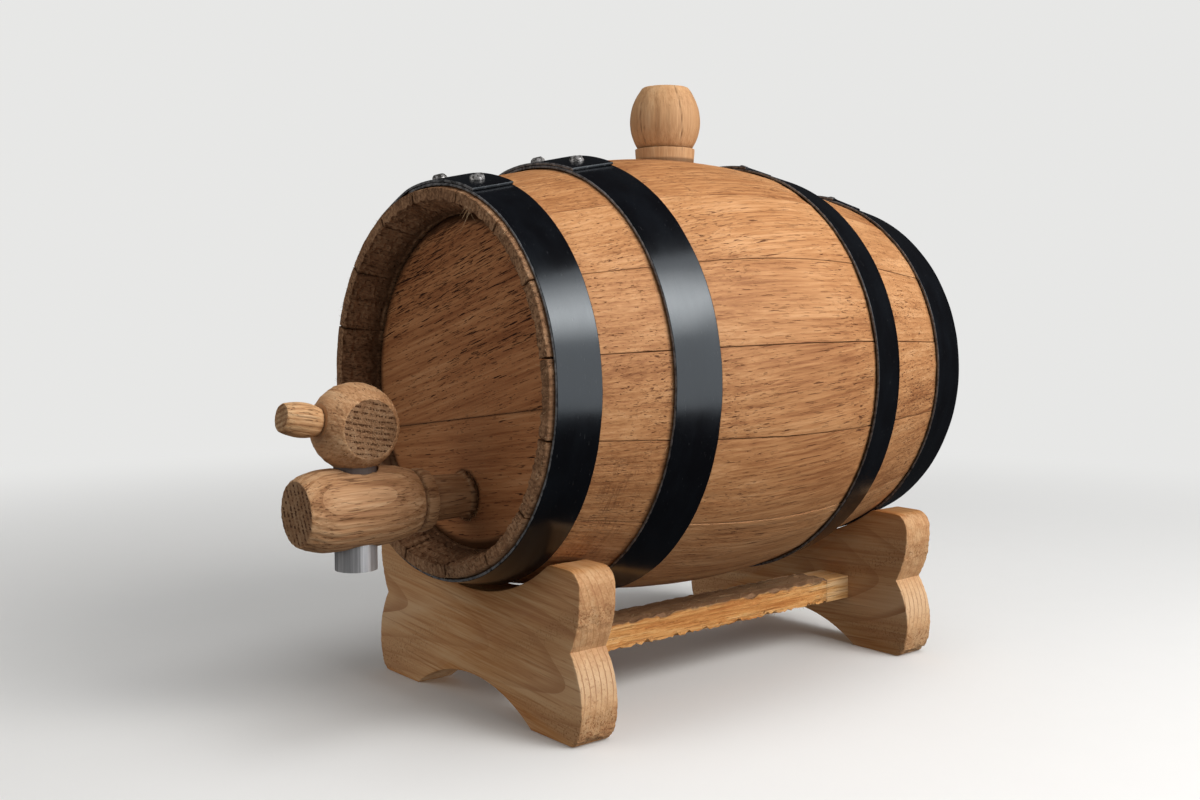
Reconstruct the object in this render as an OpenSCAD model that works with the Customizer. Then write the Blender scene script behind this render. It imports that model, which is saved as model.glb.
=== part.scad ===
// Small oak cask for spirits, lying on a pine stand, with four riveted steel hoops,
// a tapered bung on top and a turned wooden tap in its front head.
// The cask lies along Y with the tap toward -Y, +Z is up, and +X is on the right of
// someone who faces the tap. All sizes are in millimetres. The origin is on the
// table, under the middle of the whole object.

/* [Cask] */
// Length of the staves, end to end
cask_length = 198.5; // [180:0.5:230]
// Outside diameter at the bilge, the widest place
bilge_dia = 156.4; // [146:0.2:168]
// Outside diameter at the ends
end_dia = 126.6; // [118:0.2:136]
// Half length of the bent belly, past which the staves run straight
belly_half = 49; // [35:1:70]
// Thickness of a stave
stave_thickness = 10.5; // [7:0.5:13]
// Radial width of a stave's end face, outside the bevelled chime
chime_edge = 4; // [2:0.5:6]
// Angle of the first stave joint, from +X upward
first_joint_angle = -12.5; // [-20:0.5:0]

/* [Heads] */
// Depth of a head's outer face behind the ends of the staves
head_recess = 13; // [8:0.5:18]
// Thickness of a head
head_thickness = 9; // [7:0.5:12]
// Width of the croze, the groove that holds a head
croze_width = 5; // [3:0.5:6]
// Depth of the croze
croze_depth = 2.2; // [1.5:0.1:4]
// Distance of the joint between a head's boards below its centre
head_joint_drop = 12; // [0:1:18]
// Tilt of that joint, rising toward +X
head_joint_tilt = 8; // [0:1:15]
// Diameter of the dowels between a head's boards
dowel_dia = 4; // [3:0.5:5]
// Length of a dowel
dowel_length = 16; // [10:1:20]
// Distance of each dowel from the middle of the joint
dowel_spread = 27; // [20:1:36]

/* [Hoops] */
// Thickness of the hoop steel
hoop_thickness = 1; // [0.8:0.1:1.5]
// Width of the front end hoop
front_end_hoop = 14.8; // [12:0.2:20]
// Width of the front quarter hoop
front_quarter_hoop = 16.6; // [12:0.2:20]
// Width of the rear quarter hoop
rear_quarter_hoop = 14.7; // [12:0.2:20]
// Width of the rear end hoop
rear_end_hoop = 18; // [12:0.2:20]
// Length of stave that shows past an end hoop
end_hoop_inset = 1.6; // [0.5:0.1:4]
// Distance of the front quarter hoop's middle from the cask's middle
front_quarter_at = 49.8; // [42:0.2:56]
// Distance of the rear quarter hoop's middle from the cask's middle
rear_quarter_at = 40.4; // [34:0.2:56]
// Length of the lap where a hoop's ends overlap
lap_length = 38; // [30:1:50]
// Length over which the lower end of a lap comes down to the staves
lap_ramp = 14; // [8:1:20]
// Distance between the two rivets of a lap
rivet_spacing = 21; // [15:1:26]
// Diameter of a rivet's head
rivet_head_dia = 5; // [4:0.1:6]
// Height of a rivet's head
rivet_head_height = 1.7; // [1:0.1:2.2]
// Diameter of a rivet's shank
rivet_shank_dia = 2.6; // [2:0.1:3]

/* [Tap] */
// Distance of the tap's axis below the cask's axis
tap_drop = 37.6; // [32:0.2:40]
// Distance of the tap's nose in front of the stave ends
tap_reach = 48.4; // [46:0.2:56]
// Diameter of the tap's body
tap_dia = 26; // [24:0.2:30]
// Diameter of the flat nose
nose_dia = 20.6; // [16:0.2:23]
// Length of the rounded front of the body
nose_run = 10.6; // [8:0.2:14]
// Length of the straight middle of the body
tap_straight = 13; // [10:0.5:16]
// Length of the rounded back of the body
shoulder_run = 17; // [14:0.5:18]
// Diameter of the body's end at the groove
neck_dia = 20.8; // [18.5:0.1:22]
// Diameter of the collar
collar_dia = 20.8; // [18.5:0.1:23]
// Width of the collar
collar_width = 4.8; // [3:0.1:6]
// Height of the collar's bulge
collar_bulge = 0.4; // [0.2:0.1:0.8]
// Depth of the groove between body and collar
groove_depth = 0.9; // [0.4:0.1:1.4]
// Width of that groove
groove_width = 1.7; // [0.8:0.1:2.4]
// Diameter of the tenon at the collar
tenon_dia = 15.6; // [14:0.2:17]
// Taper of the tenon, change of radius per length
tenon_taper = 0.035; // [0.01:0.005:0.05]
// Length of tenon that stands out inside the cask
tenon_past = 3; // [1:0.5:6]
// Diameter of the liquor passage
liquor_bore = 6; // [4:0.5:8]
// Distance of the key's axis behind the nose
key_setback = 20.3; // [18:0.1:22]
// Diameter of the round seat cut in the body under the key
key_seat_dia = 14.6; // [14.2:0.1:16]
// Depth of that seat below the top of the body
key_seat_depth = 1.6; // [1:0.1:2.5]

/* [Tap key] */
// Outside diameter of the aluminium key tube
key_tube_dia = 13.3; // [12:0.1:14]
// Wall of the key tube
key_tube_wall = 1; // [0.8:0.1:1.5]
// Length of tube that shows under the tap's body
spout_length = 6.5; // [4:0.1:12]
// Diameter of the ball
ball_dia = 28; // [26:0.1:30]
// Height of the ball's centre above the tap's axis
ball_lift = 25.4; // [25:0.1:28]
// Distance between the ball's two flat sides
ball_flats = 20.8; // [18:0.1:24]
// Depth of the tube's socket, measured from the ball's centre down to its roof
tube_roof = 5.6; // [4.5:0.1:8]
// Distance of the handle's flat face from the ball's centre
handle_face = 12.6; // [12:0.1:13]
// Upward tilt of the handle
handle_tilt = 10; // [5:1:15]
// Length of the handle outside the ball
handle_length = 12.5; // [10:0.1:13]
// Largest diameter of the handle
handle_dia = 10.9; // [9:0.1:12]
// Diameter of the handle's ends
handle_end_dia = 8.7; // [7.5:0.1:9]
// Diameter of the handle's tenon in the ball
handle_tenon_dia = 6; // [5:0.1:7]
// Length of that tenon
handle_tenon_length = 6.5; // [5:0.1:7]

/* [Bung] */
// Distance of the bung behind the cask's middle
bung_back = 3.5; // [0:0.1:8]
// Diameter of the plug where it leaves the stave
plug_dia = 21.5; // [19:0.1:22]
// Taper of the plug, change of radius per length
plug_taper = 0.08; // [0.04:0.01:0.12]
// Length of plug that shows above the stave
plug_show = 4.2; // [2:0.1:6]
// Length of plug that stands out inside the cask
plug_past = 1.8; // [0.5:0.1:4]
// Diameter of the knob at its foot
knob_foot_dia = 20.2; // [17:0.1:21]
// Largest diameter of the knob
knob_dia = 26; // [24:0.1:30]
// Height of the knob's widest place above its foot
knob_widest = 9.8; // [7:0.1:12]
// Diameter of the knob's top
knob_top_dia = 17; // [14:0.1:20]
// Height of the knob above its foot, up to the edge of its top
knob_height = 22.3; // [18:0.1:28]
// Rise of the slightly domed top
knob_dome = 0.7; // [0.3:0.1:1.5]

/* [Stand] */
// Thickness of the two boards
board_thickness = 14.6; // [12:0.1:18]
// Height of the boards' shoulders above the bottom of the cradle
cradle_rise = 15.1; // [12:0.1:20]
// Distance of the front board's middle from the cask's middle
front_board_at = 77.1; // [70:0.1:80]
// Distance of the rear board's middle from the cask's middle
rear_board_at = 82.8; // [70:0.1:84]
// Width over the feet
foot_width = 119.2; // [112:0.2:130]
// Height of the feet's widest place
foot_height = 12; // [10:0.5:16]
// Width over the shoulders
shoulder_width = 117; // [112:0.2:130]
// Depth of the shoulders' widest place below the top of the boards
shoulder_drop = 8.7; // [7:0.1:12]
// Width at the notch between foot and shoulder
notch_width = 107.8; // [98:0.2:110]
// Height of that notch
notch_height = 29.3; // [26:0.1:33]
// Width of the arch under a board
arch_width = 67.2; // [50:0.2:74]
// Height of that arch
arch_height = 10.8; // [7:0.1:13]
// Radius at the lower corners
foot_round = 5; // [3:0.5:7]
// Radius at the upper corners
shoulder_round = 6; // [3:0.5:7]
// Width of the stretcher
stretcher_width = 14.5; // [10:0.1:18]
// Height of the stretcher
stretcher_height = 9.5; // [7:0.1:10]
// Distance of the stretcher's middle from the stand's middle, toward +X
stretcher_offset = 23.7; // [18:0.1:28]
// Height of the stretcher's underside above the table
stretcher_bottom = 18.5; // [14:0.1:22]
// Gap between the stretcher's top and the lowest place of the cask
cask_clearance = 3.4; // [1:0.1:8]
// Length of the stretcher's tenons inside the boards
stretcher_tenon = 8; // [5:0.5:10]
// Length of rear tenon that shows in front of the rear board
tenon_show = 13; // [0:0.5:20]
// Amount by which a tenon is thinner than the stretcher, on the outside and the top
tenon_cheek = 0.6; // [0.3:0.1:1.5]

/* [Fits] */
// Gap between a hoop and the staves
hoop_gap = 0.1; // [0.05:0.01:0.2]
// Gap between the cask and its cradle
cradle_gap = 0.3; // [0.2:0.05:0.6]
// Gap around pieces that are pressed or glued together
close_fit = 0.05; // [0.02:0.01:0.1]
// Radial gap around the key tube, which turns
turning_fit = 0.08; // [0.05:0.01:0.1]
// Radial gap around the tapered bung
bung_fit = 0.1; // [0.05:0.01:0.15]
// Gap beside and above the rear tenon in its loose mortise
mortise_gap = 0.8; // [0.2:0.1:1.2]

/* [Hidden] */
$fn = 96;
long_arc_facets = 240;
oak = [0.78, 0.56, 0.35];
head_oak = [0.56, 0.38, 0.24];
hoop_black = [0.07, 0.07, 0.08];
rivet_steel = [0.62, 0.60, 0.58];
tap_oak = [0.74, 0.54, 0.35];
pine = [0.84, 0.66, 0.44];
aluminium = [0.80, 0.80, 0.81];

// Angles that the staves take up, one after another from the first joint. They are
// of random width, as split oak is, and the fifth is wide enough for the bung.
stave_shares = [22.3, 21.9, 21.9, 21.9, 24, 19.5, 23, 21.5, 22, 22.5, 23, 23, 23, 23, 23.5, 24];
bung_stave = 5;

// Body profile of the cask: an arc over the belly, with straight ends tangent to it.
// half_tan is the tangent of half the end slope, settled in a few steps.
settle_steps = 6;
half_length = cask_length / 2;
bilge_r = bilge_dia / 2;
end_r = end_dia / 2;
end_run = half_length - belly_half;
axis_height = stretcher_bottom + stretcher_height + cask_clearance + bilge_r;
function settle(q, steps) =
    steps == 0 ? q : settle((bilge_r - end_r) / (belly_half + 2 * end_run / (1 - q * q)), steps - 1);
half_tan = settle(0, settle_steps);
end_slope = 2 * atan(half_tan);
belly_r = belly_half / sin(end_slope);
function stave_r(h) =
    abs(h) <= belly_half
    ? bilge_r - belly_r + sqrt(belly_r * belly_r - h * h)
    : end_r + (half_length - abs(h)) * tan(end_slope);
function inside_r(h) = stave_r(h) - stave_thickness;

// The ramp of a lap is lower than the lap's top by a small step, and its arc is highest at
// an angle inside the lap.
ramp_step = 0.02;
ramp_overlap = 2;
full_turn = 360;
quarter_turn = full_turn / 4;
// How far a cut or a hidden stretch runs on past the face that it crosses.
past = 1;
// Amount by which the disc in a rounded corner stands proud of its edges.
corner_blend = 0.01;

// Radius of the arc that bows out by `drop` over `run`, tangent to the run at one end.
function arc_r(run, drop) = (run * run + drop * drop) / (2 * drop);
function sum(list, count) = count == 0 ? 0 : list[count - 1] + sum(list, count - 1);

share_total = sum(stave_shares, len(stave_shares));
function joint_angle(n) = first_joint_angle + full_turn * sum(stave_shares, n) / share_total;

head_out = half_length - head_recess;
head_in = head_out - head_thickness;
head_mid = (head_out + head_in) / 2;
croze_r = inside_r(head_mid) + croze_depth;

hoop_names = ["front_end_hoop", "front_quarter_hoop", "rear_quarter_hoop", "rear_end_hoop"];
hoop_widths = [front_end_hoop, front_quarter_hoop, rear_quarter_hoop, rear_end_hoop];
hoop_places = [
    half_length - end_hoop_inset - front_end_hoop / 2,
    front_quarter_at,
    -rear_quarter_at,
    -(half_length - end_hoop_inset - rear_end_hoop / 2)
];
lap_angles = [86.5, 87, 95, 93];
function hoop_low(k) = hoop_places[k] - hoop_widths[k] / 2;
function hoop_high(k) = hoop_places[k] + hoop_widths[k] / 2;
// A hoop is a straight cone, so it stands off the convex staves by the belly's rise.
function hoop_rise(k) =
    stave_r(hoop_places[k]) - (stave_r(hoop_low(k)) + stave_r(hoop_high(k))) / 2 + hoop_gap;
function hoop_mid_r(k) = stave_r(hoop_places[k]) + hoop_gap;
function hoop_slope(k) = atan((stave_r(hoop_low(k)) - stave_r(hoop_high(k))) / hoop_widths[k]);
function arc_angle(length, r) = 180 * length / (PI * r);
// Distance between the centres of a circle of radius r and of a smaller one that touches it
// inside, and lies `drop` deeper at an angle from the touching point.
function eccentric(r, drop, angle) = drop * (2 * r - drop) / (2 * (r - (r - drop) * cos(angle)));

tap_z = axis_height - tap_drop;
tap_r = tap_dia / 2;
nose_at = half_length + tap_reach;
key_at = nose_at - key_setback;
straight_front = nose_at - nose_run;
straight_back = straight_front - tap_straight;
neck_at = straight_back - shoulder_run;
collar_back = neck_at - collar_width;
tenon_end = head_in - tenon_past;
function tenon_r(h) = tenon_dia / 2 - (collar_back - h) * tenon_taper;

handle_end = handle_face + handle_length;
front_reach = key_at + handle_end * cos(handle_tilt) + handle_end_dia / 2 * sin(handle_tilt);
shift_y = (front_reach - half_length) / 2;
cask_top = axis_height + stave_r(bung_back);
function plug_r(z) = plug_dia / 2 + z * plug_taper;

// The cradles are cut to the widest part of the cask, or of an end hoop, over each board.
function cradle_r(board_at, k) =
    let (inner = board_at - board_thickness / 2, hoop = min(abs(hoop_low(k)), abs(hoop_high(k))))
    cradle_gap + max(stave_r(inner), stave_r(max(hoop, inner)) + hoop_gap + hoop_thickness);
front_cradle_r = cradle_r(front_board_at, 0);
rear_cradle_r = cradle_r(rear_board_at, 3);
board_height = axis_height - front_cradle_r + cradle_rise;
shoulder_height = board_height - shoulder_drop;
front_face = front_board_at - board_thickness / 2;
rear_face = rear_board_at - board_thickness / 2;
stretcher_left = stretcher_offset - stretcher_width / 2;

function numbered(n) = str("stave_", n < 10 ? "0" : "", n);
stave_numbers = [1 : len(stave_shares)];

// Cask frame: x to the right, y up and z forward, toward the tap, from the cask's middle.
module in_cask() {
    translate([0, shift_y, axis_height]) rotate([90, 0, 0]) children();
}

// The same turned frame, for pieces that stand on the table.
module on_table() {
    translate([0, shift_y, 0]) rotate([90, 0, 0]) children();
}

// The same turned frame along the tap's axis.
module in_tap() {
    translate([0, shift_y, tap_z]) rotate([90, 0, 0]) children();
}

// Upright frame on the key's axis, at the height of the tap's axis.
module at_key() {
    translate([0, shift_y - key_at, tap_z]) children();
}

// Frame of the handle, z along it from the ball's centre.
module along_handle() {
    translate([0, 0, ball_lift]) rotate([90 - handle_tilt, 0, 0]) children();
}

// Half section of the solid cask, moved inward by `inset`.
module cask_profile(inset) {
    knee_r = stave_r(belly_half);
    translate([-inset, 0]) {
        polygon([
            [0, -half_length],
            [end_r, -half_length],
            [knee_r, -belly_half],
            [knee_r, belly_half],
            [end_r, half_length],
            [0, half_length]
        ]);
        intersection() {
            translate([bilge_r - belly_r, 0]) circle(r = belly_r, $fn = long_arc_facets);
            translate([0, -belly_half]) square([bilge_r + past, 2 * belly_half]);
        }
    }
}

// What the bevelled chime takes away past one head.
module chime_cut() {
    end_inside_r = end_r - chime_edge;
    flare = (end_inside_r - inside_r(head_out)) / head_recess;
    polygon([
        [0, head_out],
        [inside_r(head_out), head_out],
        [end_inside_r + flare * past, half_length + past],
        [0, half_length + past]
    ]);
}

module stave_section() {
    difference() {
        cask_profile(0);
        cask_profile(stave_thickness);
        for (end = [0, 1])
            mirror([0, end]) {
                chime_cut();
                translate([0, head_mid - croze_width / 2]) square([croze_r, croze_width]);
            }
    }
}

module bung_hole() {
    low = -stave_thickness - plug_dia / 4;
    high = plug_show;
    translate([0, shift_y + bung_back, cask_top + low])
        cylinder(h = high - low, r1 = plug_r(low) + bung_fit, r2 = plug_r(high) + bung_fit);
}

module stave(n) {
    from = joint_angle(n - 1);
    color(oak)
        difference() {
            in_cask()
                rotate_extrude(start = from, angle = joint_angle(n) - from) stave_section();
            if (n == bung_stave)
                bung_hole();
        }
}

// Round head with a tongue on its rim, chamfered to both faces.
module head_disc() {
    rim_r = croze_r - close_fit;
    tongue = croze_width / 2 - close_fit;
    chamfer = head_thickness / 2 - tongue;
    front_r = inside_r(head_mid + croze_width / 2) - 4 * close_fit;
    back_r = inside_r(head_mid - croze_width / 2) - 4 * close_fit;
    rotate_extrude()
        polygon([
            [0, head_in],
            [back_r - chamfer, head_in],
            [back_r, head_mid - tongue],
            [rim_r, head_mid - tongue],
            [rim_r, head_mid + tongue],
            [front_r, head_mid + tongue],
            [front_r - chamfer, head_out],
            [0, head_out]
        ]);
}

module dowels(grow) {
    for (side = [-1, 1])
        translate([side * dowel_spread, -head_joint_drop, head_mid])
            rotate([90, 0, 0])
                cylinder(h = dowel_length + 2 * grow, d = dowel_dia + 2 * grow, center = true);
}

// One board of a head. `upper` picks the part above the joint, `rear` the head at the back.
module head_board(upper, rear) {
    color(head_oak)
        in_cask()
            mirror([0, 0, rear])
                difference() {
                    intersection() {
                        head_disc();
                        rotate([0, 0, head_joint_tilt])
                            translate([-bilge_r, -head_joint_drop, head_in - past])
                                mirror([0, 1 - upper, 0])
                                    cube([2 * bilge_r, 2 * bilge_r, head_thickness + 2 * past]);
                    }
                    rotate([0, 0, head_joint_tilt]) dowels(close_fit);
                    if (upper == 0 && rear == 0)
                        translate([0, -tap_drop, head_in - past])
                            cylinder(
                                h = head_thickness + 2 * past,
                                r1 = tenon_r(head_in - past) + close_fit,
                                r2 = tenon_r(head_out + past) + close_fit
                            );
                }
}

module head_dowels(rear) {
    color(pine)
        in_cask() mirror([0, 0, rear]) rotate([0, 0, head_joint_tilt]) dowels(0);
}

// Section of hoop k between two heights above its seat, drawn in by `inset` and carried on
// by `beyond` past both edges.
module hoop_section(k, low, high, inset = 0, beyond = 0) {
    fall = beyond * tan(hoop_slope(k));
    low_r = stave_r(hoop_low(k)) + hoop_rise(k) - inset + fall;
    high_r = stave_r(hoop_high(k)) + hoop_rise(k) - inset - fall;
    polygon([
        [low_r + low, hoop_low(k) - beyond],
        [high_r + low, hoop_high(k) + beyond],
        [high_r + high, hoop_high(k) + beyond],
        [low_r + high, hoop_low(k) - beyond]
    ]);
}

module at_rivets(k) {
    swing = arc_angle(rivet_spacing, hoop_mid_r(k)) / 2;
    for (side = [-1, 1])
        rotate([0, 0, lap_angles[k] + side * swing])
            translate([hoop_mid_r(k), 0, hoop_places[k]])
                rotate([0, 90 - hoop_slope(k), 0])
                    children();
}

// A hoop is one strip whose ends lap and are riveted. It is a ring of double thickness,
// cut back to one thickness except at the lap, whose top end stops square. The other end
// comes down to the ring as an eccentric arc, highest a little inside the lap.
module hoop(k) {
    lap = arc_angle(lap_length, hoop_mid_r(k));
    ramp = arc_angle(lap_ramp, hoop_mid_r(k));
    lap_stop = lap_angles[k] + lap / 2;
    ramp_top = 2 * hoop_thickness - ramp_step;
    ramp_arc = ramp + ramp_overlap;
    offset_in = eccentric(hoop_mid_r(k) + ramp_top, ramp_top - hoop_thickness, ramp_arc);
    color(hoop_black)
        in_cask()
            difference() {
                rotate_extrude() hoop_section(k, 0, 2 * hoop_thickness);
                difference() {
                    rotate_extrude(start = lap_stop, angle = full_turn - lap)
                        hoop_section(k, hoop_thickness, 3 * hoop_thickness, beyond = hoop_thickness);
                    rotate([0, 0, lap_stop - ramp_overlap])
                        translate([offset_in, 0, 0])
                            rotate_extrude()
                                hoop_section(k, -hoop_thickness, ramp_top, offset_in, 2 * hoop_thickness);
                }
                at_rivets(k)
                    translate([0, 0, -past])
                        cylinder(h = 2 * (hoop_thickness + past), d = rivet_shank_dia + 2 * close_fit);
            }
}

// Two domed rivets, their shanks flush with the inside of the hoop.
module rivets(k) {
    dome_r = arc_r(rivet_head_dia / 2, rivet_head_height);
    top = 2 * hoop_thickness + rivet_head_height;
    color(rivet_steel)
        in_cask()
            at_rivets(k) {
                cylinder(h = 2 * hoop_thickness + rivet_head_height / 2, d = rivet_shank_dia);
                intersection() {
                    translate([0, 0, 2 * hoop_thickness])
                        cylinder(h = rivet_head_height + past, d = rivet_head_dia);
                    translate([0, 0, top - dome_r]) sphere(r = dome_r);
                }
            }
}

// Half section of a bulge: the part between `low` and `high` of a circle whose widest
// place, at radius r, is at height `at`.
module bulge(r, curve_r, at, low, high) {
    intersection() {
        translate([r - curve_r, at]) circle(r = curve_r, $fn = long_arc_facets);
        translate([0, low]) square([r + past, high - low]);
    }
}

module tap_section() {
    neck_r = neck_dia / 2;
    collar_r = collar_dia / 2;
    nose_curve = arc_r(nose_run, tap_r - nose_dia / 2);
    shoulder_curve = arc_r(shoulder_run, tap_r - neck_r);
    collar_curve = arc_r(collar_width / 2, collar_bulge);
    groove_mouth = groove_width / 2 * (1 + past / groove_depth);
    difference() {
        union() {
            translate([0, straight_back]) square([tap_r, tap_straight]);
            bulge(tap_r, nose_curve, straight_front, straight_front - past, nose_at);
            bulge(tap_r, shoulder_curve, straight_back, neck_at, straight_back + past);
            bulge(collar_r, collar_curve, neck_at - collar_width / 2, collar_back, neck_at);
            translate([0, collar_back]) square([collar_r - past, 2 * collar_width]);
            polygon([
                [0, tenon_end],
                [tenon_r(tenon_end), tenon_end],
                [tenon_r(collar_back + past), collar_back + past],
                [0, collar_back + past]
            ]);
        }
        polygon([
            [neck_r - groove_depth, neck_at],
            [neck_r + past, neck_at - groove_mouth],
            [neck_r + past, neck_at + groove_mouth]
        ]);
    }
}

module tap_body() {
    color(tap_oak)
        in_tap()
            difference() {
                rotate_extrude() tap_section();
                translate([0, 0, tenon_end - past])
                    cylinder(h = key_at - tenon_end + past, d = liquor_bore);
                translate([0, 0, key_at])
                    rotate([-90, 0, 0]) {
                        cylinder(h = 2 * tap_dia, d = key_tube_dia + 2 * turning_fit, center = true);
                        translate([0, 0, tap_r - key_seat_depth])
                            cylinder(h = tap_dia, d = key_seat_dia);
                    }
            }
}

// Aluminium tube that turns in the body. It is the key's stem and the spout in one:
// a hole in its side meets the liquor passage after a quarter turn.
module tap_tube() {
    bottom = -tap_r - spout_length;
    top = ball_lift - tube_roof;
    bore = key_tube_dia - 2 * key_tube_wall;
    color(aluminium)
        at_key()
            difference() {
                translate([0, 0, bottom]) cylinder(h = top - bottom, d = key_tube_dia);
                translate([0, 0, bottom - past]) cylinder(h = top - bottom + 2 * past, d = bore);
                rotate([0, 90, 0]) cylinder(h = key_tube_dia, d = liquor_bore);
            }
}

// Turned ball with its end grain left as two flats, bored for the tube and the handle.
module tap_ball() {
    color(tap_oak)
        at_key()
            difference() {
                translate([0, 0, ball_lift])
                    intersection() {
                        sphere(d = ball_dia);
                        cube([ball_flats, 2 * ball_dia, 2 * ball_dia], center = true);
                    }
                cylinder(h = ball_lift - tube_roof + close_fit, d = key_tube_dia + 2 * close_fit);
                along_handle() {
                    translate([0, 0, handle_face]) cylinder(h = ball_dia, d = ball_dia);
                    translate([0, 0, handle_face - handle_tenon_length - 4 * close_fit])
                        cylinder(h = ball_dia, d = handle_tenon_dia + 2 * close_fit);
                }
            }
}

module tap_handle() {
    middle = handle_face + handle_length / 2;
    curve = arc_r(handle_length / 2, (handle_dia - handle_end_dia) / 2);
    tenon_foot = handle_face - handle_tenon_length;
    color(tap_oak)
        at_key()
            along_handle()
                rotate_extrude() {
                    bulge(handle_dia / 2, curve, middle, handle_face + close_fit, handle_end);
                    translate([0, tenon_foot])
                        square([handle_tenon_dia / 2, handle_tenon_length + past]);
                }
}

module bung() {
    knob_r = knob_dia / 2;
    widest = plug_show + knob_widest;
    top = plug_show + knob_height;
    upper_run = knob_height - knob_widest;
    foot_curve = arc_r(knob_widest, knob_r - knob_foot_dia / 2);
    top_curve = arc_r(upper_run, knob_r - knob_top_dia / 2);
    dome_curve = arc_r(knob_top_dia / 2, knob_dome);
    bottom = -stave_thickness - plug_past;
    color(tap_oak)
        translate([0, shift_y + bung_back, cask_top])
            rotate_extrude() {
                polygon([
                    [0, bottom],
                    [plug_r(bottom), bottom],
                    [plug_r(plug_show), plug_show],
                    [0, plug_show]
                ]);
                translate([0, plug_show - past]) square([knob_top_dia / 2, knob_height + past]);
                bulge(knob_r, foot_curve, widest, plug_show, widest);
                bulge(knob_r, top_curve, widest, widest - past, top);
                intersection() {
                    translate([0, top + knob_dome - dome_curve]) circle(r = dome_curve, $fn = long_arc_facets);
                    translate([0, top - past]) square([knob_top_dia / 2, knob_dome + 2 * past]);
                }
            }
}

// Rounds a corner of its child on both sides: cuts it back between two directions from a
// centre and puts a disc there, a hair larger so that it crosses both edges cleanly.
module rounded_corners(centre, r, from, to) {
    reach = 4 * r;
    middle = (from + to) / 2;
    difference() {
        children();
        for (side = [-1, 1])
            translate([side * centre.x, centre.y])
                polygon([
                    [0, 0],
                    reach * [side * cos(from), sin(from)],
                    2 * reach * [side * cos(middle), sin(middle)],
                    reach * [side * cos(to), sin(to)]
                ]);
    }
    for (side = [-1, 1])
        translate([side * centre.x, centre.y]) circle(r = r + corner_blend);
}

// A board's face before its corners are rounded: two arcs on each side that meet in the
// notch, with the cradle cut out above and the arch below.
module board_blank(cradle, foot, shoulder) {
    arch_curve = arc_r(arch_width / 2, arch_height);
    core = notch_width / 2 - foot_round;
    difference() {
        union() {
            translate([-core, 0]) square([2 * core, board_height]);
            for (side = [-1, 1]) {
                translate([side * (foot_width / 2 - foot), foot_height])
                    circle(r = foot, $fn = long_arc_facets);
                translate([side * (shoulder_width / 2 - shoulder), shoulder_height])
                    circle(r = shoulder, $fn = long_arc_facets);
            }
        }
        translate([0, axis_height]) circle(r = cradle, $fn = long_arc_facets);
        translate([0, arch_height - arch_curve]) circle(r = arch_curve, $fn = long_arc_facets);
    }
}

module board_face(cradle) {
    foot = arc_r(notch_height - foot_height, (foot_width - notch_width) / 2);
    shoulder = arc_r(shoulder_height - notch_height, (shoulder_width - notch_width) / 2);
    foot_fall = foot_height - foot_round;
    foot_side = sqrt(pow(foot - foot_round, 2) - foot_fall * foot_fall);
    top_line = board_height - shoulder_round;
    shoulder_rise = top_line - shoulder_height;
    shoulder_side = sqrt(pow(shoulder - shoulder_round, 2) - shoulder_rise * shoulder_rise);
    lip_fall = axis_height - top_line;
    lip_x = sqrt(pow(cradle + shoulder_round, 2) - lip_fall * lip_fall);
    intersection() {
        rounded_corners(
            [foot_width / 2 - foot + foot_side, foot_round],
            foot_round, -quarter_turn, -atan2(foot_fall, foot_side)
        )
            rounded_corners(
                [shoulder_width / 2 - shoulder + shoulder_side, top_line],
                shoulder_round, atan2(shoulder_rise, shoulder_side), quarter_turn
            )
                rounded_corners(
                    [lip_x, top_line],
                    shoulder_round, quarter_turn, quarter_turn + atan2(lip_x, lip_fall)
                )
                    board_blank(cradle, foot, shoulder);
        translate([-foot_width, 0]) square([2 * foot_width, board_height]);
    }
}

// A board of the stand, from its back to its front. The mortise is cut from `mouth`
// inward, and `slack` is its gap beside and above the tenon.
module board(at, cradle, mouth, slack, deeper) {
    depth = stretcher_tenon + 2 * close_fit;
    color(pine)
        on_table()
            difference() {
                translate([0, 0, at - board_thickness / 2])
                    linear_extrude(board_thickness) board_face(cradle);
                translate([
                    stretcher_left - close_fit,
                    stretcher_bottom - close_fit,
                    deeper > 0 ? mouth - past : mouth - depth
                ])
                    cube([
                        stretcher_width - tenon_cheek + slack + close_fit,
                        stretcher_height - tenon_cheek + slack + close_fit,
                        depth + past
                    ]);
            }
}

module front_board() {
    board(front_board_at, front_cradle_r, front_face, close_fit, 1);
}

module rear_board() {
    board(-rear_board_at, rear_cradle_r, -rear_face, mortise_gap, -1);
}

// Slat between the boards, with a tenon at each end. Part of the rear tenon shows.
module stretcher() {
    shoulder_back = -rear_face + tenon_show;
    shoulder_front = front_face - close_fit;
    back = -rear_face - stretcher_tenon;
    front = front_face + stretcher_tenon;
    color(pine)
        on_table() {
            translate([stretcher_left, stretcher_bottom, shoulder_back])
                cube([stretcher_width, stretcher_height, shoulder_front - shoulder_back]);
            translate([stretcher_left, stretcher_bottom, back])
                cube([
                    stretcher_width - tenon_cheek,
                    stretcher_height - tenon_cheek,
                    front - back
                ]);
        }
}

for (n = stave_numbers)
    stave(n);
head_board(1, 0);  // front_head_upper
head_board(0, 0);  // front_head_lower
head_dowels(0);  // front_head_dowels
head_board(1, 1);  // rear_head_upper
head_board(0, 1);  // rear_head_lower
head_dowels(1);  // rear_head_dowels
for (k = [0 : len(hoop_names) - 1]) {
    hoop(k);
    rivets(k);
}
tap_body();
tap_ball();
tap_handle();
tap_tube();
bung();
front_board();
rear_board();
stretcher();
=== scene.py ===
import math

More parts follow.
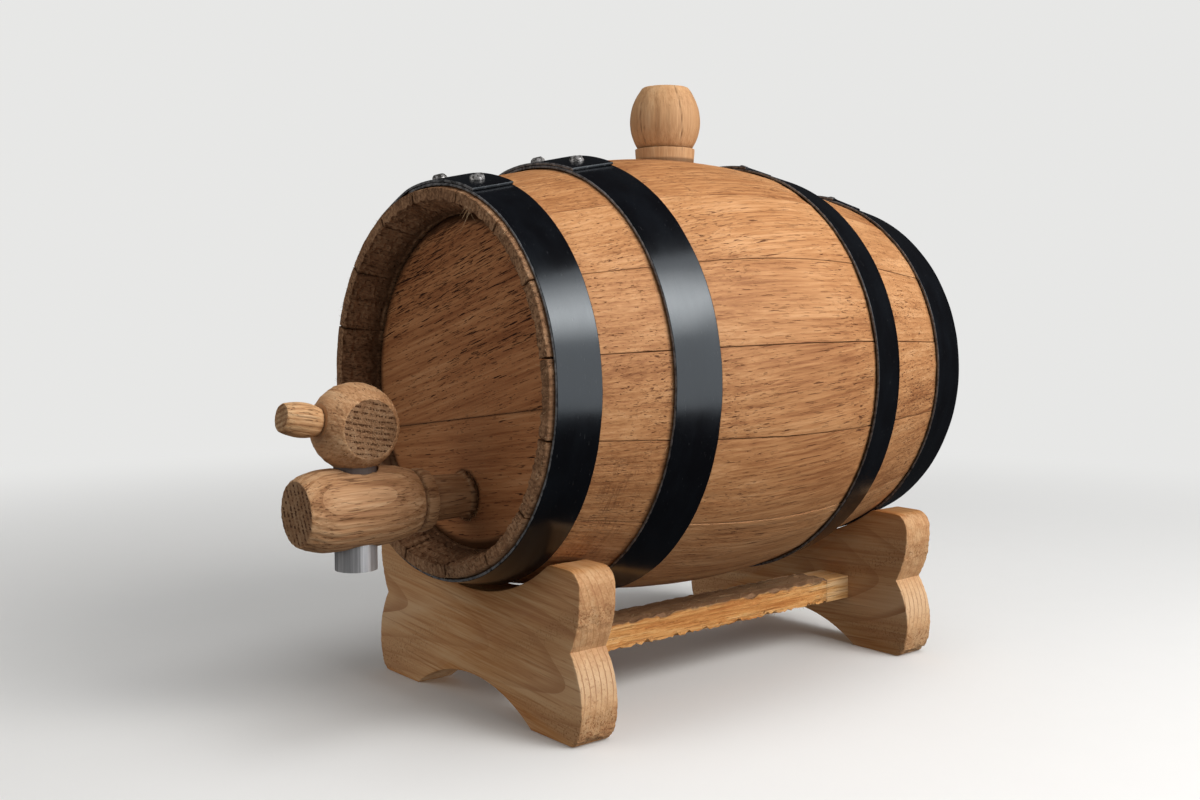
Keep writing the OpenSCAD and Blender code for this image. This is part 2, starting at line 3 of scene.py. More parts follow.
import bmesh
import bpy
import numpy as np
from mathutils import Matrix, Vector


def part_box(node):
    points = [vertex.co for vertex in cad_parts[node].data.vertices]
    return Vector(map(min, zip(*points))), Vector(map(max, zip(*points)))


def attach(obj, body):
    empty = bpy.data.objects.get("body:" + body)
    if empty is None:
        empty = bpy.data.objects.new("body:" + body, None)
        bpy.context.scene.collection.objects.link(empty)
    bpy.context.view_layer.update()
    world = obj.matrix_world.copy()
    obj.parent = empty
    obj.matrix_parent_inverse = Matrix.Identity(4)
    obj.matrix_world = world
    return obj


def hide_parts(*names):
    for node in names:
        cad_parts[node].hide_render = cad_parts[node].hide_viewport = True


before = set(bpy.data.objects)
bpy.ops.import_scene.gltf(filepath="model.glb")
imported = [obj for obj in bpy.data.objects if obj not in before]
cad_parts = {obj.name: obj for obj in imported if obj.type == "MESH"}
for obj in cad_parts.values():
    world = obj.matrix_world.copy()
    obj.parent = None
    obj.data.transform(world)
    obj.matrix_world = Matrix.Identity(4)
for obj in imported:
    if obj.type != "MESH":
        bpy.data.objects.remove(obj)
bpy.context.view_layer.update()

# Every piece works in the cask's own terms: across is toward +X, forward is toward the tap (-Y)
# from the cask's middle, and heights are over the table. All lengths are in metres.
tau = 2 * math.pi
quarter = math.pi / 2


def nodePoints(name):
    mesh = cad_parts[name].data
    flat = np.empty(len(mesh.vertices) * 3)
    mesh.vertices.foreach_get("co", flat)
    return flat.reshape(-1, 3)


def nodeSpan(name, axis):
    low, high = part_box(name)
    return low[axis], high[axis]


caskMiddle = sum(nodeSpan("stave_09", 1)) / 2
caskHalf = (nodeSpan("stave_09", 1)[1] - nodeSpan("stave_09", 1)[0]) / 2


def forwardSpan(name):
    low, high = nodeSpan(name, 1)
    return caskMiddle - high, caskMiddle - low


def ripple(points, size, seed, waves=28):
    # Rough relief between about -1 and 1: a sum of sine waves in random directions, each about
    # `size` long. A size with three lengths stretches it along those axes.
    rng = np.random.default_rng(seed)
    turns = rng.normal(size=(waves, 3))
    turns *= rng.uniform(0.6, 1.7, (waves, 1)) / np.linalg.norm(turns, axis=1)[:, None]
    phase = rng.uniform(0, tau, waves)
    scaled = points.reshape(-1, 3) / np.broadcast_to(size, 3)
    total = np.sin(scaled @ turns.T * tau + phase).sum(axis=1) / math.sqrt(waves)
    return total.reshape(points.shape[:-1])


def triple(x, y, z):
    # Three arrays, or numbers that hold for every point, as one array of vectors.
    return np.stack(np.broadcast_arrays(x, y, z), -1)


def smoothStep(x):
    # 0 below 0 and 1 above 1, with 3x^2 - 2x^3 between.
    x = np.clip(x, 0, 1)
    return x * x * (3 - 2 * x)


def beside(distance, reach):
    # 1 at no distance, falling smoothly to 0 at the reach.
    return smoothStep(1 - distance / reach)


def arris(distance, radius):
    # How far a rounded edge falls back at a distance from it: radius less the height of the circle.
    inside = np.clip(1 - distance / radius, 0, 1)
    return radius * (1 - np.sqrt(1 - inside * inside))


def stations(length, edge, count):
    # Places along a length, as distances: close together near both ends, even between them.
    near = np.array([0, 0.12, 0.32, 0.62, 1.0]) * edge
    middle = np.linspace(edge, length - edge, count)[1:-1]
    return np.concatenate([near, middle, length - near[::-1]])


def blockSkin(counts):
    # The skin of a block of cells: each corner as three whole numbers, the quads, and the side that
    # each quad lies on (0 and 1 across the first axis, 2 and 3 the second, 4 and 5 the third).
    corners, quads, sides = [], [], []
    offset = 0
    for axis in range(3):
        a, b = (axis + 1) % 3, (axis + 2) % 3
        i, j = np.meshgrid(np.arange(counts[a] + 1), np.arange(counts[b] + 1), indexing="ij")
        for end, level in enumerate((0, counts[axis])):
            sheet = np.zeros(i.shape + (3,), int)
            sheet[..., axis], sheet[..., a], sheet[..., b] = level, i, j
            n = np.arange(i.size).reshape(i.shape) + offset
            quad = np.stack([n[:-1, :-1], n[1:, :-1], n[1:, 1:], n[:-1, 1:]], -1).reshape(-1, 4)
            corners.append(sheet.reshape(-1, 3))
            quads.append(quad if end else quad[:, ::-1])
            sides.append(np.full(len(quad), 2 * axis + end))
            offset += i.size
    unique, inverse = np.unique(np.concatenate(corners), axis=0, return_inverse=True)
    return unique, inverse.reshape(-1)[np.concatenate(quads)], np.concatenate(sides)


def ringQuads(rings, around):
    # Quads between closed rings of points that lie one after another.
    n = np.arange(rings * around).reshape(rings, around)
    on = np.roll(n, -1, axis=1)
    return np.stack([n[:-1], on[:-1], on[1:], n[1:]], -1).reshape(-1, 4)


def placed(name, data):
    # A new object of the scene, at its origin and unturned.
    made = bpy.data.objects.new(name, data)
    bpy.context.scene.collection.objects.link(made)
    return made


def addPiece(name, points, quads, finishes, body, nodes, marks=None, pick=None, sharp=35, ends=()):
    # Makes a closed mesh from points and quads, turns it outward by the sign of its volume, merges
    # its poles, stores the marks (one number for all points or one each, and a vector each for the
    # grain), gives it its finishes and its body, and hides the nodes that it stands for.
    a, b, c, d = (points[quads[:, k]] for k in range(4))
    volume = (a * np.cross(b, c)).sum() + (a * np.cross(c, d)).sum()
    way = -1 if volume < 0 else 1
    mesh = bpy.data.meshes.new(name)
    mesh.from_pydata(points, [], quads[:, ::way].tolist() + [list(end)[::way] for end in ends])
    for key, values in (marks or {}).items():
        kind, field, shape = ("FLOAT", "value", len(points))
        if key == "grain":
            kind, field, shape = ("FLOAT_VECTOR", "vector", (len(points), 3))
        flat = np.broadcast_to(values, shape).astype(np.float32).ravel()
        mesh.attributes.new(key, kind, "POINT").data.foreach_set(field, flat)
    for finish in finishes:
        mesh.materials.append(finish)
    if pick is not None:
        mesh.polygons.foreach_set("material_index", pick.astype(np.int32))
    work = bmesh.new()
    work.from_mesh(mesh)
    bmesh.ops.remove_doubles(work, verts=work.verts, dist=1e-7)
    work.to_mesh(mesh)
    work.free()
    mesh.shade_smooth()
    mesh.set_sharp_from_angle(angle=math.radians(sharp))
    piece = placed(name, mesh)
    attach(piece, body)
    if nodes:
        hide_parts(*nodes)
    return piece


def lathe(radii, along, around, capRings=0):
    # A turned solid: the radius at each place along its axis, carried round it. Both ends close on
    # the axis, over rings of shrinking radius. Gives the angle, radius and place of each point.
    inner = np.linspace(0, 1, capRings + 2)[:-1]
    radii = np.concatenate([radii[0] * inner, radii, radii[-1] * inner[::-1]])
    along = np.concatenate([np.full(len(inner), along[0]), along, np.full(len(inner), along[-1])])
    turn = np.linspace(0, tau, around, endpoint=False)
    angle, radius = np.meshgrid(turn, radii)
    place = np.broadcast_to(along[:, None], angle.shape)
    return angle.ravel(), radius.ravel(), place.ravel().copy(), ringQuads(len(radii), around)


def cutAway(piece, cutters):
    # Takes the cutters out of a piece and removes them.
    for cutter in cutters:
        cut = piece.modifiers.new("cut", "BOOLEAN")
        cut.object = cutter
        cut.operation = "DIFFERENCE"
        cut.solver = "EXACT"
    bpy.context.view_layer.update()
    shown = piece.evaluated_get(bpy.context.evaluated_depsgraph_get())
    mesh = bpy.data.meshes.new_from_object(shown)
    piece.modifiers.clear()
    piece.data = mesh
    for cutter in cutters:
        bpy.data.objects.remove(cutter)


def rodCutter(start, end, radius, around=96):
    # A plain rod between two points, used only to drill a hole.
    axis = Vector(end) - Vector(start)
    side = axis.orthogonal().normalized()
    other = axis.normalized().cross(side)
    turn = np.linspace(0, tau, around, endpoint=False)
    ring = np.outer(np.cos(turn), side) + np.outer(np.sin(turn), other)
    points = np.concatenate([np.array(start) + ring * radius, np.array(end) + ring * radius])
    quads = ringQuads(2, around)
    mesh = bpy.data.meshes.new("rodCutter")
    ends = [list(range(around))[::-1], list(range(around, 2 * around))]
    mesh.from_pydata(points, [], quads.tolist() + ends)
    return placed("rodCutter", mesh)


class Shader:
    # A short way to write a node material: each call adds one node and gives its output.
    def __init__(self, name, **fixed):
        self.material = bpy.data.materials.new(name)
        self.material.use_nodes = True
        self.tree = self.material.node_tree
        self.surface = self.tree.nodes["Principled BSDF"]
        for socket, value in fixed.items():
            self.surface.inputs[socket.replace("_", " ")].default_value = value

    def feed(self, socket, value):
        if isinstance(value, bpy.types.NodeSocket):
            self.tree.links.new(value, socket)
        elif socket.type == "RGBA":
            socket.default_value = value + (1,)
        else:
            socket.default_value = value

    def node(self, kind, inputs, output=0, **settings):
        made = self.tree.nodes.new("ShaderNode" + kind)
        for key, value in settings.items():
            setattr(made, key, value)
        for socket, value in inputs.items():
            self.feed(made.inputs[socket], value)
        return made.outputs[output]

    def attribute(self, name):
        return self.node("Attribute", {}, "Vector" if name == "grain" else "Fac", attribute_name=name)

    def place(self):
        return self.node("TexCoord", {}, "Object")

    def heightOf(self, vector):
        return self.node("SeparateXYZ", {0: vector}, "Z")

    def length(self, vector):
        return self.node("VectorMath", {0: vector}, "Value", operation="LENGTH")

    def scaled(self, vector, scale, shift=(0, 0, 0)):
        return self.node("Mapping", {"Vector": vector, "Scale": scale, "Location": shift})

    def noise(self, vector, scale, shift=(0, 0, 0), detail=3, rough=0.5):
        moved = self.scaled(vector, scale, shift)
        return self.node("TexNoise", {"Vector": moved, "Scale": 1, "Detail": detail, "Roughness": rough})

    def cells(self, vector, scale, randomness):
        inputs = {"Vector": self.scaled(vector, scale), "Scale": 1, "Randomness": randomness}
        return self.node("TexVoronoi", inputs, "Distance")

    def math(self, operation, a, b=0.0):
        return self.node("Math", {0: a, 1: b}, operation=operation)

    def times(self, a, b):
        return self.math("MULTIPLY", a, b)

    def most(self, a, b):
        return self.math("MAXIMUM", a, b)

    def sum(self, *terms):
        # Each term is a value, or a pair of a value and its share.
        values = [self.times(*term) if isinstance(term, tuple) else term for term in terms]
        total = values[0]
        for value in values[1:]:
            total = self.math("ADD", total, value)
        return total

    def band(self, value, low, high, start=0.0, end=1.0):
        # Maps low..high to start..end and holds it there outside.
        inputs = {"Value": value, "From Min": low, "From Max": high, "To Min": start, "To Max": end}
        return self.node("MapRange", inputs, interpolation_type="SMOOTHSTEP")

    def ramp(self, value, stops):
        made = self.node("ValToRGB", {0: value})
        bar = made.node.color_ramp
        while len(bar.elements) < len(stops):
            bar.elements.new(0.5)
        for element, (place, colour) in zip(bar.elements, stops):
            element.position = place
            element.color = colour + (1,)
        return made

    def mix(self, amount, a, b):
        return self.node("Mix", {0: amount, 6: a, 7: b}, 2, data_type="RGBA")

    def finish(self, colour, roughness, height=None, relief=0):
        self.feed(self.surface.inputs["Base Color"], colour)
        self.feed(self.surface.inputs["Roughness"], roughness)
        if height is not None:
            bump = self.node("Bump", {"Height": height, "Distance": relief})
            self.feed(self.surface.inputs["Normal"], bump)
        return self.material


def srgb(red, green, blue):
    # A screen colour, 0 to 255, as the linear colour that a shader takes.
    parts = (red / 255, green / 255, blue / 255)
    return tuple(c / 12.92 if c <= 0.04045 else ((c + 0.055) / 1.055) ** 2.4 for c in parts)


def solidWood(name, look):
    # Wood as a solid pattern: x and z lie across the grain and y along it. Growth rings are
    # distances from a far pith. Pores are long thin spots where a stretched noise is high, and
    # rings and patches of softer wood gather them.
    s = Shader(name, Specular_IOR_Level=look["gloss"])
    grain = s.place() if look.get("still") else s.attribute("grain")
    wander = s.noise(grain, (22, 7, 22), detail=2)
    wandering = s.node("CombineXYZ", {0: wander, 2: wander})
    sway = (look["sway"], 0, look["sway"])
    swayed = s.node("VectorMath", {0: wandering, 1: sway, 2: grain}, operation="MULTIPLY_ADD")
    fromPith = s.scaled(swayed, (1, look["lean"], 1), look["pith"])
    distance = s.length(s.scaled(fromPith, (1, 0, 1)))
    along = s.node("SeparateXYZ", {0: fromPith}, "Y")
    ringPlace = s.math("FRACT", s.math("DIVIDE", s.sum(distance, along), look["ring"]))
    earlyWood = s.band(ringPlace, look["earlyFrom"], 1.0)
    fibre = s.noise(grain, look["fibre"], detail=4, rough=0.6)
    streak = s.noise(grain, look["streak"], rough=0.55)
    patch = s.noise(grain, look["patch"], detail=2)
    gather = s.noise(grain, (70, 16, 70), (3, 1, 2), detail=2)
    softer = (earlyWood, -look["ringShare"])
    tone = s.sum((fibre, 0.34), (streak, 0.34), (patch, look["patchShare"]), softer,
                 (s.attribute("tone"), look["toneShare"]))
    middle = (0.68 + look["patchShare"]) / 2 - look["ringShare"] * 0.35
    colour = s.ramp(s.band(tone, middle - look["spread"], middle + look["spread"]), look["colours"])
    gathered = s.sum((earlyWood, look["poreGather"]), (gather, look["poreGroup"]))
    if "poreMark" in look:
        gathered = s.sum(gathered, (s.attribute("hatch"), look["poreMark"]))
    pore = 0.0
    for scale, level, dark in look["pores"]:
        speck = s.noise(grain, scale, (scale[0], 1, 5), detail=1.5)
        pore = s.most(s.times(s.band(s.sum(speck, gathered), level, level + 0.045), dark), pore)
    if "dots" in look:
        # Sawn end grain, where the mark "cut" is: the pores' ends, in rows along the rings.
        cut = s.attribute("cut")
        rows = s.band(s.sum(earlyWood, (gather, 0.3)), 0.20, 0.55)
        dot = s.times(s.band(s.cells(swayed, look["dots"], 0.5), 0.62, 0.40), rows)
        colour = s.mix(s.times(cut, 0.35), colour, look["soilAndShadeDark"])
        pore = s.most(s.times(pore, s.math("SUBTRACT", 1.0, cut)), s.times(dot, cut))
    if "endLines" in look:
        # Sawn end grain of softwood: paler, with a thin dark line where each ring ends, and dark
        # specks where the mark "hatch" says that it is torn.
        cut = s.attribute("cut")
        colour = s.mix(s.times(cut, 0.65), colour, look["endColour"])
        line = s.times(s.band(ringPlace, 0.74, 0.96), cut)
        speck = s.band(s.noise(grain, (1300, 1300, 1300), detail=2), 0.54, 0.62)
        torn = s.times(s.times(speck, s.attribute("hatch")), 0.75)
        pore = s.most(s.most(pore, s.times(line, look["endLines"])), torn)
    colour = s.mix(pore, colour, look["poreColour"])
    # The mark carries soil on some pieces and painted shade in hollows, creases and undersides on others; it
    # darkens the colour toward these two tones.
    dust = s.noise(grain, (420, 160, 420))
    colour = s.mix(s.attribute("soilAndShade"), colour, s.mix(dust, look["soilAndShadeDark"], look["soilAndShadeLight"]))
    roughness = s.sum((fibre, 0.25), (pore, 0.15), look["rough"])
    height = s.sum((pore, -1.0), (fibre, look["fuzz"]), (streak, 0.45), softer)
    if "scored" in look:
        # Marks of a toothed plane, fine lines both ways, where the mark "hatch" is.
        lines = s.band(s.noise(grain, (1500, 60, 60), (7, 0, 0), detail=1), 0.52, 0.60)
        crossing = s.band(s.noise(grain, (60, 1300, 60), (0, 7, 0), detail=1), 0.52, 0.58)
        score = s.times(s.attribute("hatch"), s.most(lines, crossing))
        colour = s.mix(s.times(score, look["scored"]), colour, look["poreColour"])
        height = s.sum(height, (score, -0.9))
    return s.finish(colour, roughness, height, look["relief"])


def tints(*colours):
    # Four screen colours, dark to light, as the stops of a ramp.
    return [(place, srgb(*colour)) for place, colour in zip((0.0, 0.36, 0.68, 1.0), colours)]


oakLook = {
    "colours": tints((143, 90, 52), (174, 120, 75), (189, 136, 89), (206, 156, 110)),
    "sway": 0.004, "lean": 0.02, "pith": (0.09, 0.0, 0.012), "ring": 0.0023, "earlyFrom": 0.45,
    "ringShare": 0.04, "toneShare": 0.03, "patchShare": 0.20,
    "fibre": (1500, 60, 1500), "streak": (260, 12, 260), "patch": (34, 18, 34),
    "pores": [((3200, 150, 3200), 0.75, 0.40), ((2500, 80, 2500), 0.775, 0.90)],
    "poreGather": 0.03, "poreGroup": 0.22, "poreColour": srgb(92, 50, 27),
    "soilAndShadeLight": srgb(118, 84, 58), "soilAndShadeDark": srgb(58, 38, 26),
    "rough": 0.46, "fuzz": 0.6, "relief": 0.00016, "gloss": 0.25, "spread": 0.17,
}
staveLook = dict(oakLook, scored=0.42)
headLook = dict(
    oakLook,
    colours=tints((136, 82, 47), (163, 107, 67), (178, 122, 79), (194, 141, 98)),
    pores=[((3000, 240, 3000), 0.785, 0.60), ((2300, 140, 2300), 0.805, 1.0)], poreMark=0.09,
    poreColour=srgb(58, 28, 15), relief=0.0002, gloss=0.12,
    soilAndShadeLight=srgb(104, 68, 42), soilAndShadeDark=srgb(40, 24, 15),
)
chimeLook = dict(
    oakLook,
    colours=tints((108, 77, 54), (144, 107, 78), (164, 126, 94), (186, 150, 118)),
    pores=[((1300, 500, 1300), 0.74, 0.5)], poreColour=srgb(52, 33, 21),
    relief=0.0003, rough=0.62, fuzz=0.9, fibre=(1100, 700, 1100), gloss=0.1,
)
turnedLook = dict(
    oakLook,
    colours=tints((150, 105, 70), (180, 134, 94), (196, 152, 111), (211, 171, 131)),
    pith=(0.04, 0.0, 0.0), ring=0.0023, ringShare=0.065, sway=0.003, earlyFrom=0.40,
    pores=[((2600, 200, 2600), 0.755, 0.60)], poreGather=0.05, poreColour=srgb(86, 52, 31),
    dots=(420, 15, 1000), relief=0.0003, gloss=0.2, spread=0.14,
)
ballLook = dict(
    turnedLook,
    pith=(0.022, 0.0, 0.006), ring=0.0018, ringShare=0.02, dots=(1100, 15, 2000),
    pores=[((2400, 500, 2400), 0.765, 0.55)],
)
handleLook = dict(
    turnedLook,
    colours=tints((166, 118, 78), (192, 146, 102), (206, 164, 120), (217, 180, 140)),
    ring=0.0016, dots=(1300, 15, 1600),
)
bungLook = dict(
    turnedLook,
    colours=tints((164, 118, 79), (188, 143, 101), (201, 158, 115), (212, 174, 134)),
    pores=[((1800, 110, 1800), 0.82, 0.30)], ringShare=0.022, ring=0.0024, spread=0.24,
)
pineLook = {
    "colours": tints((166, 104, 55), (183, 127, 76), (194, 143, 93), (204, 160, 115)),
    "sway": 0.007, "lean": 0.05, "pith": (0.0, 0.0, 0.050), "ring": 0.0023, "earlyFrom": 0.62,
    "ringShare": 0.018, "toneShare": 0.04, "patchShare": 0.22,
    "fibre": (1300, 40, 1300), "streak": (260, 8, 260), "patch": (24, 10, 24),
    "pores": [((1500, 130, 1500), 0.80, 0.35), ((1000, 20, 1000), 0.73, 0.35)],
    "poreGather": 0.03, "poreGroup": 0.2, "poreColour": srgb(146, 92, 54),
    "soilAndShadeLight": srgb(176, 138, 100), "soilAndShadeDark": srgb(112, 80, 54),
    "rough": 0.5, "fuzz": 0.7, "relief": 0.00012, "gloss": 0.2, "spread": 0.13,
}
boardLook = dict(pineLook, endLines=0.8, endColour=srgb(216, 186, 150))
stretcherLook = dict(
    pineLook,
    colours=tints((182, 114, 56), (205, 143, 80), (217, 165, 104), (226, 188, 140)),
    soilAndShadeLight=srgb(138, 112, 90), soilAndShadeDark=srgb(104, 80, 62), relief=0.0005, fuzz=1.2,
)
fibreLook = dict(pineLook, colours=tints((150, 112, 76), (182, 144, 104), (205, 172, 132), (226, 200, 164)))

woods = {
    "stave": solidWood("staveOak", staveLook),
    "head": solidWood("headOak", headLook),
    "chime": solidWood("chimeOak", chimeLook),
    "turned": solidWood("turnedOak", turnedLook),
    "ball": solidWood("ballOak", ballLook),
    "bung": solidWood("bungOak", bungLook),
    "handle": solidWood("handleOak", handleLook),
    "board": solidWood("standPine", boardLook),
    "stretcher": solidWood("stretcherPine", stretcherLook),
    "dowel": solidWood("dowelWood", dict(pineLook, still=True)),
    "fibre": solidWood("woodFibre", fibreLook),
}
print("wood finishes made")

hoopLook = {"black": (0.003, 0.003, 0.004), "grey": (0.005, 0.006, 0.008), "worn": (0.20, 0.20, 0.205)}
rivetLook = {"worn": (0.40, 0.39, 0.385), "dark": (0.07, 0.066, 0.06)}
tubeLook = {"dark": (0.50, 0.50, 0.51), "bright": (0.72, 0.72, 0.73), "dust": srgb(70, 48, 34)}
tapTop = nodeSpan("tap_body", 2)[1]


def hoopFinish():
    # Black steel: the grain's x runs round the hoop and its y across its width. Paint is worn off
    # where the mark "wear" and a fine noise together are high, and along fine scratches.
    s = Shader("hoopSteel", Specular_IOR_Level=0.62, Specular_Tint=(0.86, 0.94, 1.0, 1.0))
    flat = s.attribute("grain")
    brushed = s.noise(flat, (90, 2600, 90), detail=4, rough=0.6)
    cloud = s.noise(flat, (60, 120, 60), detail=4, rough=0.55)
    scratch = s.band(s.noise(flat, (350, 5200, 350), detail=2), 0.70, 0.78)
    chipped = s.band(s.sum(s.attribute("wear"), (s.noise(flat, (700, 700, 700)), 0.6)), 0.80, 1.15)
    colour = s.mix(s.band(cloud, 0.35, 0.75), hoopLook["black"], hoopLook["grey"])
    colour = s.mix(s.most(chipped, s.times(scratch, 0.25)), colour, hoopLook["worn"])
    roughness = s.sum((cloud, 0.12), (brushed, 0.10), 0.09)
    return s.finish(colour, roughness, s.sum((brushed, 0.25), (cloud, 0.8)), 0.00003)


def rivetFinish():
    s = Shader("rivetSteel", Metallic=0.6)
    spots = s.noise(s.place(), (900, 900, 900))
    colour = s.mix(s.band(spots, 0.46, 0.62), rivetLook["worn"], rivetLook["dark"])
    return s.finish(colour, s.band(spots, 0.3, 0.8, 0.38, 0.68), spots, 0.00010)


def tubeFinish():
    # Drawn tube with fine lines along it, and dust on the part that stands over the tap's body.
    s = Shader("tubeAluminium")
    drawn = s.noise(s.place(), (1600, 1600, 40))
    dusty = s.band(s.heightOf(s.place()), tapTop - 0.004, tapTop - 0.002)
    colour = s.mix(s.band(drawn, 0.3, 0.7), tubeLook["dark"], tubeLook["bright"])
    colour = s.mix(s.times(dusty, 0.9), colour, tubeLook["dust"])
    s.feed(s.surface.inputs["Metallic"], s.band(dusty, 0.0, 1.0, 0.6, 0.1))
    return s.finish(colour, s.sum(s.band(drawn, 0.3, 0.7, 0.28, 0.42), (dusty, 0.3)), drawn, 0.00001)


metals = {"hoop": hoopFinish(), "rivet": rivetFinish(), "tube": tubeFinish()}
print("metal finishes made")


cask = {
    "axisHeight": 0.1096,
    "bilgeRadius": 0.0782,
    "endRadius": 0.0633,
    "bellyHalf": 0.049,
    "wall": 0.0105,
    "chimeEdge": 0.004,
    "headRecess": 0.013,
    "headThickness": 0.009,
    "crozeWidth": 0.005,
    "crozeDepth": 0.0022,
}


def settledSlope():
    # Half the end slope's tangent, from the drop over belly and end run, settled in a few steps.
    drop = cask["bilgeRadius"] - cask["endRadius"]
    endRun = caskHalf - cask["bellyHalf"]
    q = 0.0
    for _ in range(8):
        q = drop / (cask["bellyHalf"] + 2 * endRun / (1 - q * q))
    return 2 * math.atan(q)


endSlope = settledSlope()
bellyRadius = cask["bellyHalf"] / math.sin(endSlope)


def staveRadius(forward):
    # The cask's outside radius: an arc over the belly, and straight ends tangent to it.
    away = np.abs(forward)
    onBelly = np.minimum(away, cask["bellyHalf"])
    belly = cask["bilgeRadius"] - bellyRadius + np.sqrt(bellyRadius ** 2 - onBelly ** 2)
    ends = cask["endRadius"] + (caskHalf - away) * math.tan(endSlope)
    return np.where(away <= cask["bellyHalf"], belly, ends)


headOut = caskHalf - cask["headRecess"]
headIn = headOut - cask["headThickness"]
headMid = (headOut + headIn) / 2
crozeRadius = float(staveRadius(headMid)) - cask["wall"] + cask["crozeDepth"]


def onCask(angle, radius, forward):
    # A point of the cask from its angle up from +X, its radius and its place along the axis.
    return triple(radius * np.cos(angle), caskMiddle - forward, cask["axisHeight"] + radius * np.sin(angle))


def insideRadius(forward):
    # The staves' inside: parallel to the outside, with the croze, and the bevel past the head.
    away = np.abs(forward)
    plain = staveRadius(forward) - cask["wall"]
    bevelLow = float(staveRadius(headOut)) - cask["wall"]
    bevelRise = cask["endRadius"] - cask["chimeEdge"] - bevelLow
    bevel = bevelLow + bevelRise * (away - headOut) / cask["headRecess"]
    inGroove = np.abs(away - headMid) < cask["crozeWidth"] / 2
    return np.where(away > headOut, bevel, np.where(inGroove, crozeRadius, plain))


staveSettings = {
    "joint": 0.00003,       # half gap between two staves
    "openJoints": {1: 0.00015, 2: 0.00012, 16: 0.00015},  # wider ones, before a stave's first edge
    "chimeJoint": 0.00030,  # extra half gap at the very ends
    "arris": 0.00022,
    "endArris": 0.0005,
    "edgeZone": 0.0009,     # how far the closer mesh lines reach in from each joint
    "inset": 0.00018,       # how far the skin lies under the cask's outside
    "step": 0.00008,        # how much deeper the second and third of three neighbours lie
    "wave": 0.000072,       # height of the long flats that a plane leaves
    "tear": 0.00005,        # height of torn grain
    "bevelRough": 0.00034,
    "pit": 0.00022,         # depth of the pores in the end grain
    "frayedEdge": 0.0016,
    "scoredAt": 0.072,      # where the toothed plane's marks lie, forward of the middle
    "bungHole": 0.01084,
}


def staveStations():
    groove = cask["crozeWidth"] / 2
    hair = 2e-5
    half = np.concatenate([
        np.linspace(0, headIn - 0.0004, 76),
        [headIn, headMid - groove - hair, headMid - groove + hair],
        [headMid, headMid + groove - hair, headMid + groove + hair],
        np.linspace(headOut, caskHalf - 0.0010, 16),
        caskHalf - np.array([0.0006, 0.0003, 0.0001, 0.0]),
    ])
    return np.concatenate([-half[:0:-1], half])


